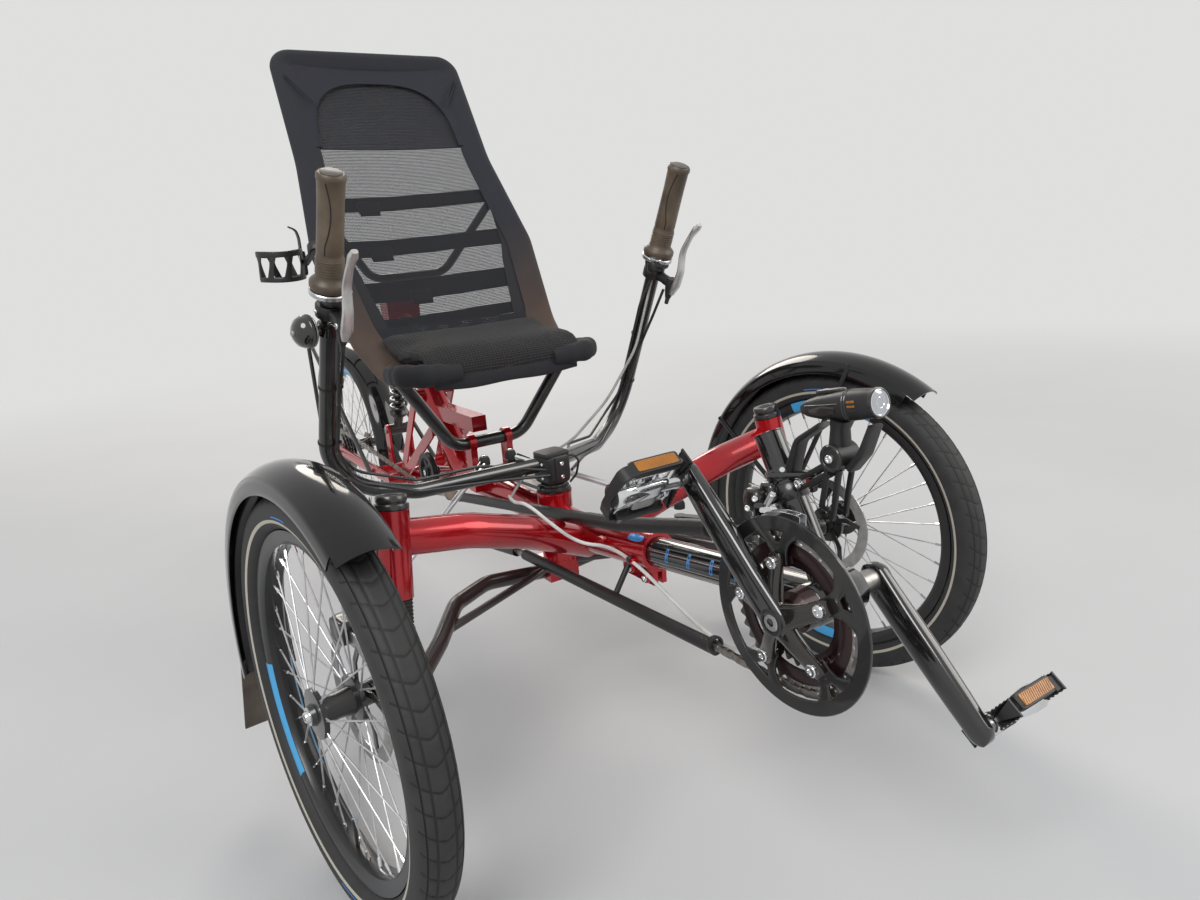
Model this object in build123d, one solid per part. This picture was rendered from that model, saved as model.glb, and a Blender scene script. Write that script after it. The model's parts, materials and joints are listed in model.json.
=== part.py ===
from build123d import *
import math
import os

# Recumbent tadpole trike: two steered wheels in front, one driven wheel behind, a mesh seat between them.
# Millimetres. +Z is up, the rider faces -Y, the rider's right side is -X.
# While it is modelled, the origin is on the ground midway between the front hubs.
# At the end everything is moved so that the origin is the middle of the part's footprint.

# Clearances
FIT = 0.1                  # radial clearance of a turning fit
GAP = 0.3                  # gap between a piece and its seat

# Wheels
WHEEL_R = 250.0            # outer radius of a 20 inch tyre
HUB_Z = 250.0              # height of the hubs while it is modelled
TYRE_W = 50.0
TYRE_DEPTH = 44.0          # tread to bead, along the radius
RIM_W = 30.0
RIM_DEPTH = 18.0
RIM_WALL = 3.0
SPOKE_R = 1.3
SPOKES = 36
SPOKE_LEAD = 14.0          # degrees that a spoke leans round the hub
HUB_R = 16.0
FLANGE_R = 29.0
FLANGE_T = 3.0
FLANGE_X = 22.0            # flange's middle from the wheel's middle plane
HUB_OUT = 32.0             # front hub's outer end from the middle plane
HUB_IN = 30.0
DISC_R = 80.0
DISC_RING = 18.0           # width of the braking ring
DISC_ARMS = 5
DISC_ARM_W = 9.0
DISC_T = 2.0
CALIPER = (26.0, 44.0, 34.0)         # width, length, height
CALIPER_AT = (6.5, 26.0, 8.0)        # inward of the disc, behind the axle, below the disc's top
CALIPER_SLOT = (5.0, 3.0)            # room round the disc's edge and in all beside it
CALIPER_ARM = (20.0, 40.0, 6.0)      # inward of the disc, height of its foot above the hub, radius
AXLE_R = 10.0
TRACK = 838.0
WHEELBASE = 1255.0
REAR_HUB_HALF = 56.0
REAR_AXLE_R = 6.0
NUT_R = 10.0
NUT_T = 7.0

# Steering, turned a little to the rider's left as it is parked
STEER_REST = 6.7           # degrees, both front wheels
BAR_REST = 4.4             # degrees, handlebar
KING_X = TRACK / 2 - 116.0
KING_TOP = (KING_X, 48.0, 460.0)     # top of the left strut
KING_SLOPE = (0.14, -0.15)           # run outward and to the rear for each unit down
HOUSING_R = 21.0
LEG_R = 14.0               # strut leg that turns in the housing
CAP_R = 19.0
HOUSING_TOP = 18.0         # all drops are along Z, below the top of the strut
HOUSING_BOTTOM = 122.0
BELLOWS_BOTTOM = 158.0
BELLOWS_R = 17.0
CARRIER_R = 19.0
BALL_DROP = 246.0
BALL_R = 13.0
BALL_H = 22.0
KNUCKLE_EYE = (KING_X - 49.0, 200.0, 279.0)  # outer ball joint of the left tie rod
EYE_R = 9.0
EYE_H = 10.0
EYE_COLLAR = 5.0
EYE_DRIFT = 12.0           # room under the outer eye, which rises and falls as the strut turns
TIE_ROD_R = 5.0
TIE_PIN_R = 4.0
STEER_ARM_W = 16.0
STEER_ARM_T = 7.0
PLATE_EYE = (26.0, 372.0)  # inner ball joint of the left tie rod
PLATE_Z = 367.0
PLATE_T = 6.0

# Frame
TUBE_R = 25.0
BOOM_R = 20.0
BOOM_INSERT = 130.0
BB_Y = -355.0              # crank axle
BB_Z = 372.0
BOOM_ANGLE = 7.4           # degrees above level
COLLAR_Y = -66.0           # front end of the main tube
LUG_L = 70.0
LUG_T = 7.0
LUG_DROP = 20.0
BEND_Y = 90.0              # main tube turns level here
BAR_PIVOT_Y = 203.0
BRIDGE_Y = WHEELBASE - WHEEL_R - 80.0        # swingarm's bridge, in front of the rear tyre
REAR_BEND_Y = BRIDGE_Y - 370.0       # main tube turns up under the seat
UPRIGHT_TOP = (0.0, BRIDGE_Y - 125.0, 600.0)
TUBE_BEND = 70.0
BEAM_R = 23.0
BEAM_PATH = [(0.0, 112.0, 298.0), (0.39 * KING_X, 72.0, 356.0), (0.69 * KING_X, 54.0, 388.0),
             (KING_X - 3.0, 51.0, 403.0)]
BEAM_BEND = 120.0
BOSS_R = 27.0
BOSS_TOP = 359.0
BOSS_BOTTOM = 246.0
SHAFT_R = 12.0
SHAFT_BOTTOM = 252.0
SWING_PIVOT = (BRIDGE_Y - 105.0, 256.0)      # y, z
PIVOT_HALF = 36.0
SWING_X = 62.0
SWING_TUBE_R = 12.0
COLLAR_R = 11.0            # spacer between the pivot and a swingarm leg
SWING_BOLT_R = 8.0
SHOCK_R = 21.0
SHOCK_EYE_R = 13.0
SHOCK_ROD_R = 8.0
SHOCK_LUG_X = 25.0
SHOCK_LUG_T = 5.0
TOP_LUG = (28.0, 62.0, 10.0)         # width of the shock's upper lugs, and their foot from the eye: y, z
LOW_LUG_W = 26.0
DROPOUT_L = 46.0
DROPOUT_T = 7.0
SHOCK_EYES = [(BRIDGE_Y - 93.0, 560.0), (BRIDGE_Y, 345.0)]           # y, z
STRAP_X = 38.3
STRAP_T = 4.0
STRAP_W = 22.0
STRAP_TOPS = [(BRIDGE_Y - 254.0, 462.0), (BRIDGE_Y - 315.0, 392.0)]  # y, z

# Suspension arms
ARM_PATH = [(26.0, 216.0, 225.0), (0.43 * KING_X, 206.0, 240.0), (0.65 * KING_X, 168.0, 240.0),
            (0.83 * KING_X, 98.0, 226.0)]
ARM_TUBE_R = 11.5
ARM_BEND = 60.0
ARM_MOUNT = (26.0, 46.0, 34.0)       # half width, length, height of the block between the arms
STAY_R = 6.0
STAY_PATH = [(26.0, 197.0, 238.0), (0.79 * KING_X, 120.0, 226.0)]

# Cranks and drive
CRANK_L = 170.0
CRANK_ANGLE = 44.3         # right arm, above the rearward direction
CRANK_T = 14.0
CRANK_W = 32.0
CRANK_TIP_W = 25.0
CRANK_RIGHT_X = -75.0
CRANK_LEFT_X = 68.0
BB_SHELL_R = 22.0
BB_SHELL_W = 66.0
BB_AXLE_R = 12.0
CHAIN_X = -45.0            # chain's middle plane
CHAIN_W = 7.0
CHAIN_H = 9.0
RING_R = 86.0              # chain's line on the big chainring
MID_RING_R = 66.0
RING_T = 3.0
RING_STEP = 7.0
RING_BAND = 18.0
GUARD_R = 99.0
GUARD_IN_R = 62.0
GUARD_X = -59.0
GUARD_T = 3.0
SPIDER_ARMS = 5
SPIDER_W = 18.0
PEDAL_AXLE_R = 7.0
PEDAL_L = 88.0
PEDAL_Y = 84.0
PEDAL_Z = 24.0
PEDAL_GAP = 5.0
POST_R = 16.0              # front derailleur's post
POST_LENGTH = 176.0
POST_ANGLE = 61.8          # degrees above the rearward direction
IDLER = (BRIDGE_Y - 292.0, 310.0)    # y, z
IDLER_R = 36.0
IDLER_T = 12.0
SPROCKET_R = 48.0          # chain's line on the cog in use
COGS = [(-28.0, 58.0), (-33.5, 52.0), (-39.0, 47.0), (-50.5, 38.0)]   # x, radius of the other cogs
COG_T = 2.0
COG_CORE_R = 18.0
COG_CORE = (-38.5, 27.0)  # middle and width
PULLEY_R = 16.0
PULLEY_T = 6.0
MECH_PLATE = (6.5, 20.0, 3.0)        # cage plate of the rear derailleur: x from the chain, width, thickness
MECH_PIN = (4.0, 8.0)                # radius, half length
MECH_KNEE = (34.0, -12.0, 30.0)      # from the guide pulley: outward, y, z
MECH_BODY_R = (12.0, 11.0, 8.0)      # lower link, upper link, hanger bolt
MECH_HANG = 26.0                     # below the rear axle
FRONT_MECH_AT = (BB_Y + 42.0, BB_Z + RING_R - 4.0)   # y, z of the front derailleur's cage
FRONT_PLATE = (6.0, 1.5, 74.0, 26.0) # x from the chain, thickness, length, height
FRONT_CLAMP = (106.0, 130.0, 5.0)    # start and end along the post, wall
FRONT_LINK_R = 8.0
GUIDE_PULLEY = (WHEELBASE - 20.0, HUB_Z - 73.0)        # y, z
TENSION_PULLEY = (WHEELBASE - 65.0, HUB_Z - 122.0)
TOP_GUIDE = (11.0, 374.0, 300.0)     # y, z, radius of the chain's bend in the upper tube
LOW_GUIDE = (219.0, 253.5, 300.0)
CHAIN_TUBE_R = 8.5
CHAIN_TUBE_IN_R = 7.0
CLIP_R = 4.0               # bar from a chain tube to the main tube
# Where each bar stands: y, and the height of its foot above the main tube's axis
CLIPS = [(140.0, 12.0), (300.0, -12.0), (-20.0, -12.0)]

# Handlebar: the left half, straight ahead
BAR_R = 12.0
BAR_PATH = [(0.0, 203.0, 404.0), (174.0, 322.0, 376.0), (288.0, 396.0, 398.0), (284.0, 188.0, 830.0)]
BAR_BENDS = [60.0, 75.0]    # at the second and third points
BAR_MID_BEND = 30.0
CLAMP = (46.0, 52.0, 38.0)
GRIP_R = 16.5
GRIP_L = 136.0
GRIP_FLANGE_R = 24.0
GRIP_FLANGE_T = 9.0
LEVER_DROP = 170.0         # below the bar's end, along it
LEVER_OUT = 38.0           # lever blade from the bar
LEVER_REACH = 50.0
LEVER_L = 96.0
LEVER_R = 6.0
LEVER_CLAMP = (9.0, 5.0)   # half width and wall of the ring round the bar
LEVER_ARM_R = 7.0
LEVER_BODY = (8.0, 20.0, 8.0)        # radius, length below the pivot and above it
BELL_R = 22.0
BELL_T = 26.0
BELL_DROP = 36.0           # below the brake lever, along the bar
BELL_ARM = (-30.0, -6.0, 7.0)        # x and y of the arm's end from the bar, radius

# Seat
RAIL_R = 10.0
SEAT_RAIL = [(150.0, 330.0, 548.0), (166.0, 430.0, 540.0), (182.0, 505.0, 590.0), (200.0, 600.0, 738.0),
             (176.0, 700.0, 900.0), (171.0, 802.0, 1098.0)]
SEAT_BENDS = [60.0, 90.0, 90.0, 300.0]
SEAT_CORNER = 28.0
MESH_T = 8.0
PAD_T = 34.0
PAD_NOSE = 8.0
U_R = 11.0
U_TUBE = [(66.0, 430.0, 402.0), (161.0, 402.0, 542.6)]      # left half, from the middle out
U_BEND = 45.0
BACK_STAY = [(74.0, 722.0, 688.0), (184.9, 663.0, 840.0)]
HEAD = (34.0, 44.0, 42.0)            # half width, length, height of the block on the upright
CHANNEL = (14.0, 462.0, 412.0, 440.0)     # half width, front end, bottom, top of the seat channel
STAY_TUBE_R = 8.0
SEAT_LUG_X = 34.6
SEAT_LUG_W = 12.0

# Fenders, flaps and rack
FENDER_R = WHEEL_R + 21.0            # underside of the front fenders
FENDER_W = 64.0
FENDER_T = 2.5
FENDER_CROWN = 12.0
FENDER_SPAN = (55.0, 193.0)          # degrees from straight ahead, over the top
REAR_FENDER_R = WHEEL_R + 14.0
REAR_FENDER_SPAN = (6.0, 150.0)
FLAP_L = 128.0
FLAP_W = 62.0
FLAP_T = 2.5
FLAP_LEAN = 20.0           # degrees, bottom edge trailing
RACK_Z = HUB_Z + REAR_FENDER_R + 34.0
RACK_R = 5.0
RACK_HALF = 66.0
RACK_WIDE = 92.0
RACK_FRONT_Y = WHEELBASE - 235.0
RACK_REAR_Y = WHEELBASE + 135.0
RACK_BARS = [RACK_FRONT_Y + 8.0, RACK_FRONT_Y + 120.0, WHEELBASE + 12.0, RACK_REAR_Y - 30.0]

# Lamp
LAMP_R = 22.0
LAMP_FRONT = (0.0, -415.0, 577.0)
LAMP_REAR = (0.0, -320.0, 560.0)
LAMP_STEM_R = 9.0
LAMP_HINGE_R = 12.0
LAMP_HINGE = (44.0, 20.0, 40.0)      # ahead of the lamp's rear, top and bottom below it
LAMP_FOOT = POST_LENGTH - 14.0       # along the derailleur's post

# Bottle cage and cable
CAGE_AT = (-236.0, 730.0, 705.0)
CAGE_R = 40.0
CAGE_H = 46.0
CAGE_WALL = 3.0
CAGE_BAND_H = 8.0
CAGE_STRIPS = 5
CAGE_STRIP_W = 9.0
CAGE_ARM_R = 6.0
CABLE_R = 2.5
CABLE_PATH = [(-74.0, 210.0, 364.0), (-98.0, 150.0, 374.0), (-108.0, 86.0, 392.0), (-88.0, 51.0, 362.0),
              (-52.0, 46.0, 328.0), (-27.8, 8.0, 329.0), (-27.8, -60.0, 321.0), (-24.0, -120.0, 294.0),
              (-22.0, -185.0, 270.0), (-22.0, -250.0, 272.0), (-26.0, -298.0, 318.0), (-32.0, -296.0, 420.0)]
CABLE_BENDS = [60.0, 30.0, 30.0, 40.0, 40.0, 90.0, 90.0, 120.0, 120.0, 50.0]

SIDES = {"right": -1, "left": 1}


def tube(points, radius, bends=None, closed=False):
    """A round bar along a path whose corners are rounded."""
    path = FilletPolyline(*points, radius=bends, close=closed) if bends else Polyline(*points)
    section = Plane(origin=path @ 0, z_dir=path % 0) * Circle(radius)
    return sweep(section, path=path)


def rod(start, end, radius):
    """A straight round bar between two points."""
    start, end = Vector(*start), Vector(*end)
    axis = end - start
    centred = (Align.CENTER, Align.CENTER, Align.MIN)
    return Plane(origin=start, z_dir=axis) * Cylinder(radius, axis.length, align=centred)


def disc(x, y, z, radius, width):
    """A cylinder whose axis runs across the trike, with its middle at x."""
    return Pos(x, y, z) * Rot(0, 90, 0) * Cylinder(radius, width)


def post(x, y, z, radius, height):
    """An upright cylinder with its middle at z."""
    return Pos(x, y, z) * Cylinder(radius, height)


def block(low, high):
    """A box between two corners."""
    size = [h - l for l, h in zip(low, high)]
    middle = [(h + l) / 2 for l, h in zip(low, high)]
    return Pos(*middle) * Box(*size)


def strap(start, end, width, thickness):
    """A flat bar with round ends in a plane across X, thin across the trike."""
    start, end = Vector(*start), Vector(*end)
    axis = end - start
    plane = Plane(origin=start, x_dir=axis, z_dir=(1, 0, 0))
    bar = plane * Pos(axis.length / 2, 0, 0) * Box(axis.length, width, thickness)
    for point in (start, end):
        bar += disc(point.X, point.Y, point.Z, width / 2, thickness)
    return bar


def flip(points, side):
    return [(side * x, y, z) for x, y, z in points]


def both(points):
    """The same path on the right side and then on the left, from end to end."""
    return [(-x, y, z) for x, y, z in reversed(points)] + list(points)


def king_point(side, drop):
    """The point of the steering axis that lies this far below the strut's top."""
    x, y, z = KING_TOP
    return (side * (x + KING_SLOPE[0] * drop), y + KING_SLOPE[1] * drop, z - drop)


def king_axis(side):
    bottom, top = Vector(*king_point(side, BALL_DROP)), Vector(*king_point(side, 0.0))
    return Axis(bottom, top - bottom)


BAR_AXIS = Axis((0, BAR_PIVOT_Y, 0), (0, 0, 1))
BOOM_SLOPE = math.tan(math.radians(BOOM_ANGLE))


def boom_z(y):
    return BB_Z - (y - BB_Y) * BOOM_SLOPE


LEVEL_Z = boom_z(BEND_Y)
BB = Vector(0, BB_Y, BB_Z)
BOOM_DIR = Vector(0, -1, BOOM_SLOPE).normalized()
COLLAR = Vector(0, COLLAR_Y, boom_z(COLLAR_Y))
MAIN_PATH = [tuple(COLLAR), (0, BEND_Y, LEVEL_Z), (0, REAR_BEND_Y, LEVEL_Z), UPRIGHT_TOP]


def post_point(length):
    angle = math.radians(POST_ANGLE)
    return BB + Vector(0, math.cos(angle), math.sin(angle)) * length


def fender_point(radius, angle, x, y):
    """A point at an angle round a wheel, counted from straight ahead over the top."""
    turn = math.radians(angle)
    return (x, y - radius * math.cos(turn), HUB_Z + radius * math.sin(turn))


def main_tube():
    swing_y, swing_z = SWING_PIVOT
    frame = tube(MAIN_PATH, TUBE_R, TUBE_BEND)
    frame += post(0, BAR_PIVOT_Y, (BOSS_TOP + BOSS_BOTTOM) / 2, BOSS_R, BOSS_TOP - BOSS_BOTTOM)
    lug_z = COLLAR.Z - TUBE_R
    for x in (-LUG_T, LUG_T):
        low = (x - LUG_T / 2, COLLAR_Y, lug_z - LUG_DROP)
        frame += block(low, (x + LUG_T / 2, COLLAR_Y + LUG_L, lug_z + 8))
    frame += tube([(0, REAR_BEND_Y - 20, LEVEL_Z), (0, swing_y, swing_z)], TUBE_R - 6)
    frame += disc(0, swing_y, swing_z, TUBE_R - 5, 2 * PIVOT_HALF)
    eye_y, eye_z = SHOCK_EYES[0]
    lug_w, back, down = TOP_LUG
    for x in (-SHOCK_LUG_X, SHOCK_LUG_X):
        frame += strap((x, eye_y - back, eye_z - down), (x, eye_y, eye_z), lug_w, SHOCK_LUG_T)
    _, seat_y, seat_z = U_TUBE[0]
    for x in (-SEAT_LUG_X, SEAT_LUG_X):
        low = (x - SEAT_LUG_W / 2, seat_y - 12, LEVEL_Z)
        frame += block(low, (x + SEAT_LUG_W / 2, seat_y + 12, seat_z + 4))
        frame += disc(x, seat_y, seat_z, U_R + 5, SEAT_LUG_W)
    low = (-SEAT_LUG_X, seat_y - 10, LEVEL_Z)
    frame += block(low, (SEAT_LUG_X, seat_y + 10, LEVEL_Z + TUBE_R + 6))
    frame -= tube(both(U_TUBE), U_R, U_BEND)
    frame -= rod(COLLAR - BOOM_DIR * BOOM_INSERT, COLLAR + BOOM_DIR * TUBE_R, BOOM_R + GAP / 2)
    depth = BOSS_TOP - SHAFT_BOTTOM + 2 * GAP
    frame -= post(0, BAR_PIVOT_Y, (BOSS_TOP + SHAFT_BOTTOM) / 2, SHAFT_R + FIT, depth)
    frame -= disc(0, swing_y, swing_z, SWING_BOLT_R, 4 * SWING_X)
    return frame


def crossbeam():
    """Two curved halves that run from the main tube out to the strut housings."""
    beam = Part()
    trunk = tube(MAIN_PATH, TUBE_R, TUBE_BEND)
    for side in SIDES.values():
        half = tube(flip(BEAM_PATH, side), BEAM_R, BEAM_BEND)
        half += rod(king_point(side, HOUSING_TOP), king_point(side, HOUSING_BOTTOM), HOUSING_R)
        half -= rod(king_point(side, 0), king_point(side, BELLOWS_BOTTOM), LEG_R + FIT)
        half -= trunk
        half -= post(0, BAR_PIVOT_Y, BOSS_TOP, BOSS_R, BOSS_TOP)
        beam += half.solids().sort_by(lambda s: s.volume)[-1]
    return beam


def strut_caps():
    caps = [rod(king_point(s, 0), king_point(s, HOUSING_TOP - GAP), CAP_R) for s in SIDES.values()]
    return Part() + caps


def boom():
    bar = rod(COLLAR - BOOM_DIR * (BOOM_INSERT - GAP), BB, BOOM_R)
    bar += disc(0, BB_Y, BB_Z, BB_SHELL_R, BB_SHELL_W)
    bar += rod(BB, post_point(POST_LENGTH), POST_R)
    return bar - disc(0, BB_Y, BB_Z, BB_AXLE_R + FIT, 2 * BB_SHELL_W)


def arm_mount():
    half, length, height = ARM_MOUNT
    middle = ARM_PATH[0][1]
    low = (-half, middle - length / 2, BOSS_BOTTOM - height)
    return block(low, (half, middle + length / 2, BOSS_BOTTOM))


def lower_arms():
    """The suspension arms, each a bent tube with a stay, out to the ball joint under the strut."""
    arms = Part()
    for side in SIDES.values():
        ball = king_point(side, BALL_DROP + BALL_H / 2)
        arm = tube(flip(ARM_PATH, side) + [ball], ARM_TUBE_R, ARM_BEND)
        arm += rod(*flip(STAY_PATH, side), STAY_R)
        arm += rod(king_point(side, BALL_DROP + GAP), king_point(side, BALL_DROP + BALL_H), BALL_R)
        arm -= rod(king_point(side, 0), king_point(side, BALL_DROP + GAP), 2 * BALL_R)
        arms += arm
    return arms - arm_mount()


def swingarm():
    """Two legs on the pivot bolt, a bridge in front of the wheel and the lugs for the shock."""
    swing_y, swing_z = SWING_PIVOT
    slope = (HUB_Z - swing_z) / (WHEELBASE - swing_y)
    arm = disc(0, swing_y, swing_z, SWING_BOLT_R - GAP / 2, 2 * SWING_X)
    near = STRAP_X + STRAP_T / 2 + GAP
    end_y = WHEELBASE - DROPOUT_L
    end_z = swing_z + (end_y - swing_y) * slope
    for side in SIDES.values():
        x = side * SWING_X
        arm += disc(x, swing_y, swing_z, SWING_TUBE_R + 4, 2 * SWING_TUBE_R + 2)
        arm += disc((side * near + x) / 2, swing_y, swing_z, COLLAR_R, SWING_X - near)
        arm += rod((x, swing_y, swing_z), (x, end_y, end_z), SWING_TUBE_R)
        arm += strap((x, end_y - 12, end_z), (x, WHEELBASE, HUB_Z), 2 * SWING_TUBE_R + 3, DROPOUT_T)
    bridge_z = swing_z + (BRIDGE_Y - swing_y) * slope
    arm += rod((-SWING_X, BRIDGE_Y, bridge_z), (SWING_X, BRIDGE_Y, bridge_z), SWING_TUBE_R - 1)
    eye_y, eye_z = SHOCK_EYES[1]
    for x in (-SHOCK_LUG_X, SHOCK_LUG_X):
        arm += strap((x, BRIDGE_Y, bridge_z), (x, eye_y, eye_z), LOW_LUG_W, SHOCK_LUG_T)
    return arm - disc(0, WHEELBASE, HUB_Z, REAR_AXLE_R, 4 * SWING_X)


def rear_axle():
    axle = disc(0, WHEELBASE, HUB_Z, REAR_AXLE_R, 2 * SWING_X + 20)
    face = SWING_X + DROPOUT_T / 2
    for side in SIDES.values():
        axle += disc(side * (face + NUT_T / 2), WHEELBASE, HUB_Z, NUT_R, NUT_T)
    return axle


def shock():
    """Spring and damper between the frame's upright and the swingarm, with its eyes."""
    (top_y, top_z), (low_y, low_z) = SHOCK_EYES
    top, low = Vector(0, top_y, top_z), Vector(0, low_y, low_z)
    width = 2 * SHOCK_LUG_X - SHOCK_LUG_T - 2 * GAP
    body = disc(0, top_y, top_z, SHOCK_EYE_R, width) + disc(0, low_y, low_z, SHOCK_EYE_R, width)
    body += rod(top, low, SHOCK_ROD_R)
    return body + rod(top + (low - top) * 0.16, top + (low - top) * 0.84, SHOCK_R)


def frame_straps():
    """Flat struts from the swingarm's pivot up to the main tube's rise, in a V on each side."""
    swing_y, swing_z = SWING_PIVOT
    straps = Part()
    for x in (-STRAP_X, STRAP_X):
        for top_y, top_z in STRAP_TOPS:
            straps += strap((x, top_y, top_z), (x, swing_y, swing_z), STRAP_W, STRAP_T)
    for top_y, top_z in STRAP_TOPS:
        straps += disc(0, top_y, top_z, STRAP_W / 3, 2 * STRAP_X)
    straps -= tube(MAIN_PATH, TUBE_R, TUBE_BEND)
    return straps - disc(0, swing_y, swing_z, SWING_BOLT_R, 4 * SWING_X)


def chain_circles():
    """What the chain runs round, in its order: y, z, radius of its middle line, turn (1 up, -1 down)."""
    wrap = CHAIN_H / 2 + GAP
    top_y, top_z, top_r = TOP_GUIDE
    low_y, low_z, low_r = LOW_GUIDE
    return [
        (BB_Y, BB_Z, RING_R, -1),
        (top_y, top_z + top_r, top_r, 1),
        (*IDLER, IDLER_R + wrap, 1),
        (WHEELBASE, HUB_Z, SPROCKET_R, -1),
        (*GUIDE_PULLEY, PULLEY_R + wrap, 1),
        (*TENSION_PULLEY, PULLEY_R + wrap, -1),
        (low_y, low_z - low_r, low_r, 1),
    ]


def tangents(circles):
    """Start and end of the straight run from each circle to the next, as (y, z) pairs."""
    runs = []
    for (y1, z1, r1, s1), (y2, z2, r2, s2) in zip(circles, circles[1:] + circles[:1]):
        away = math.hypot(y2 - y1, z2 - z1)
        heading = math.atan2(z2 - z1, y2 - y1) - math.asin((s2 * r2 - s1 * r1) / away)
        left = (-math.sin(heading), math.cos(heading))
        start = (y1 - s1 * r1 * left[0], z1 - s1 * r1 * left[1])
        end = (y2 - s2 * r2 * left[0], z2 - s2 * r2 * left[1])
        runs.append((start, end))
    return runs


def belt_face(circles, shift):
    """The face inside a belt round circles; shift moves the belt to its left."""
    moved = [(y, z, radius - turn * shift, turn) for y, z, radius, turn in circles]
    runs = tangents(moved)
    edges = [Line(*run) for run in runs]
    for (y, z, radius, turn), before, after in zip(moved, runs[-1:] + runs[:-1], runs):
        first = math.atan2(before[1][1] - z, before[1][0] - y)
        last = math.atan2(after[0][1] - z, after[0][0] - y)
        middle = first + turn * (((last - first) * turn) % (2 * math.pi)) / 2
        point = (y + radius * math.cos(middle), z + radius * math.sin(middle))
        edges.append(ThreePointArc(before[1], point, after[0]))
    return make_face(edges)


def chain():
    circles = chain_circles()
    ring = belt_face(circles, CHAIN_H / 2) - belt_face(circles, -CHAIN_H / 2)
    return extrude(Plane.YZ * Pos(0, 0, CHAIN_X - CHAIN_W / 2) * ring, CHAIN_W)


def chain_tubes():
    """Guide tubes on the chain's straight runs, each on a short bar from the main tube."""
    runs = tangents(chain_circles())
    spans = (runs[1], 0.02, 0.86), (runs[5], 0.62, 0.999), (runs[6], 0.001, 0.78)
    tubes = Part()
    for ((start, end), first, last), (clip_y, rise) in zip(spans, CLIPS):
        a, b = Vector(CHAIN_X, *start), Vector(CHAIN_X, *end)
        ends = a + (b - a) * first, a + (b - a) * last
        held = a + (b - a) * ((clip_y - a.Y) / (b.Y - a.Y))
        foot = (-TUBE_R / 2, clip_y, max(LEVEL_Z, boom_z(clip_y)) + rise)
        tubes += rod(*ends, CHAIN_TUBE_R) + rod(held, foot, CLIP_R) - rod(*ends, CHAIN_TUBE_IN_R)
    return tubes - tube(MAIN_PATH, TUBE_R, TUBE_BEND)


def idler():
    y, z = IDLER
    wheel = disc(CHAIN_X, y, z, IDLER_R, IDLER_T) - disc(CHAIN_X, y, z, IDLER_R - 8, IDLER_T + 2)
    wheel += disc(CHAIN_X, y, z, IDLER_R - 4, 5.0)
    middle = (CHAIN_X + IDLER_T / 2 - TUBE_R) / 2
    return wheel + disc((CHAIN_X - TUBE_R + GAP) / 2, y, z, 9.0, -CHAIN_X - TUBE_R + GAP * 2)


def rear_derailleur():
    """Two pulleys between two plates, on a body that hangs from the right dropout."""
    x = CHAIN_X
    plate_x, plate_w, plate_t = MECH_PLATE
    pin_r, pin_half = MECH_PIN
    body = Part()
    for y, z in (GUIDE_PULLEY, TENSION_PULLEY):
        body += disc(x, y, z, PULLEY_R, PULLEY_T) + rod((x + pin_half, y, z), (x - pin_half, y, z), pin_r)
    for side in (-1, 1):
        plate = x + side * plate_x
        body += strap((plate, *GUIDE_PULLEY), (plate, *TENSION_PULLEY), plate_w, plate_t)
    y, z = GUIDE_PULLEY
    outward, knee_y, knee_z = MECH_KNEE
    knee = (x - outward, y + knee_y, z + knee_z)
    hanger = (x - outward, WHEELBASE, HUB_Z - MECH_HANG)
    low_r, high_r, bolt_r = MECH_BODY_R
    body += rod((x - pin_half, y, z), knee, low_r) + rod(knee, hanger, high_r)
    body += rod(hanger, (-SWING_X - 3, WHEELBASE, HUB_Z - MECH_HANG + 2), bolt_r)
    return body - swingarm()


def cassette():
    y, z = WHEELBASE, HUB_Z
    core_x, core_w = COG_CORE
    stack = disc(core_x, y, z, COG_CORE_R, core_w)
    for x, radius in COGS + [(CHAIN_X, SPROCKET_R - CHAIN_H / 2 - GAP)]:
        stack += disc(x, y, z, radius, COG_T)
    return stack - disc(0, y, z, HUB_R + GAP, 2 * REAR_HUB_HALF)


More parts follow.
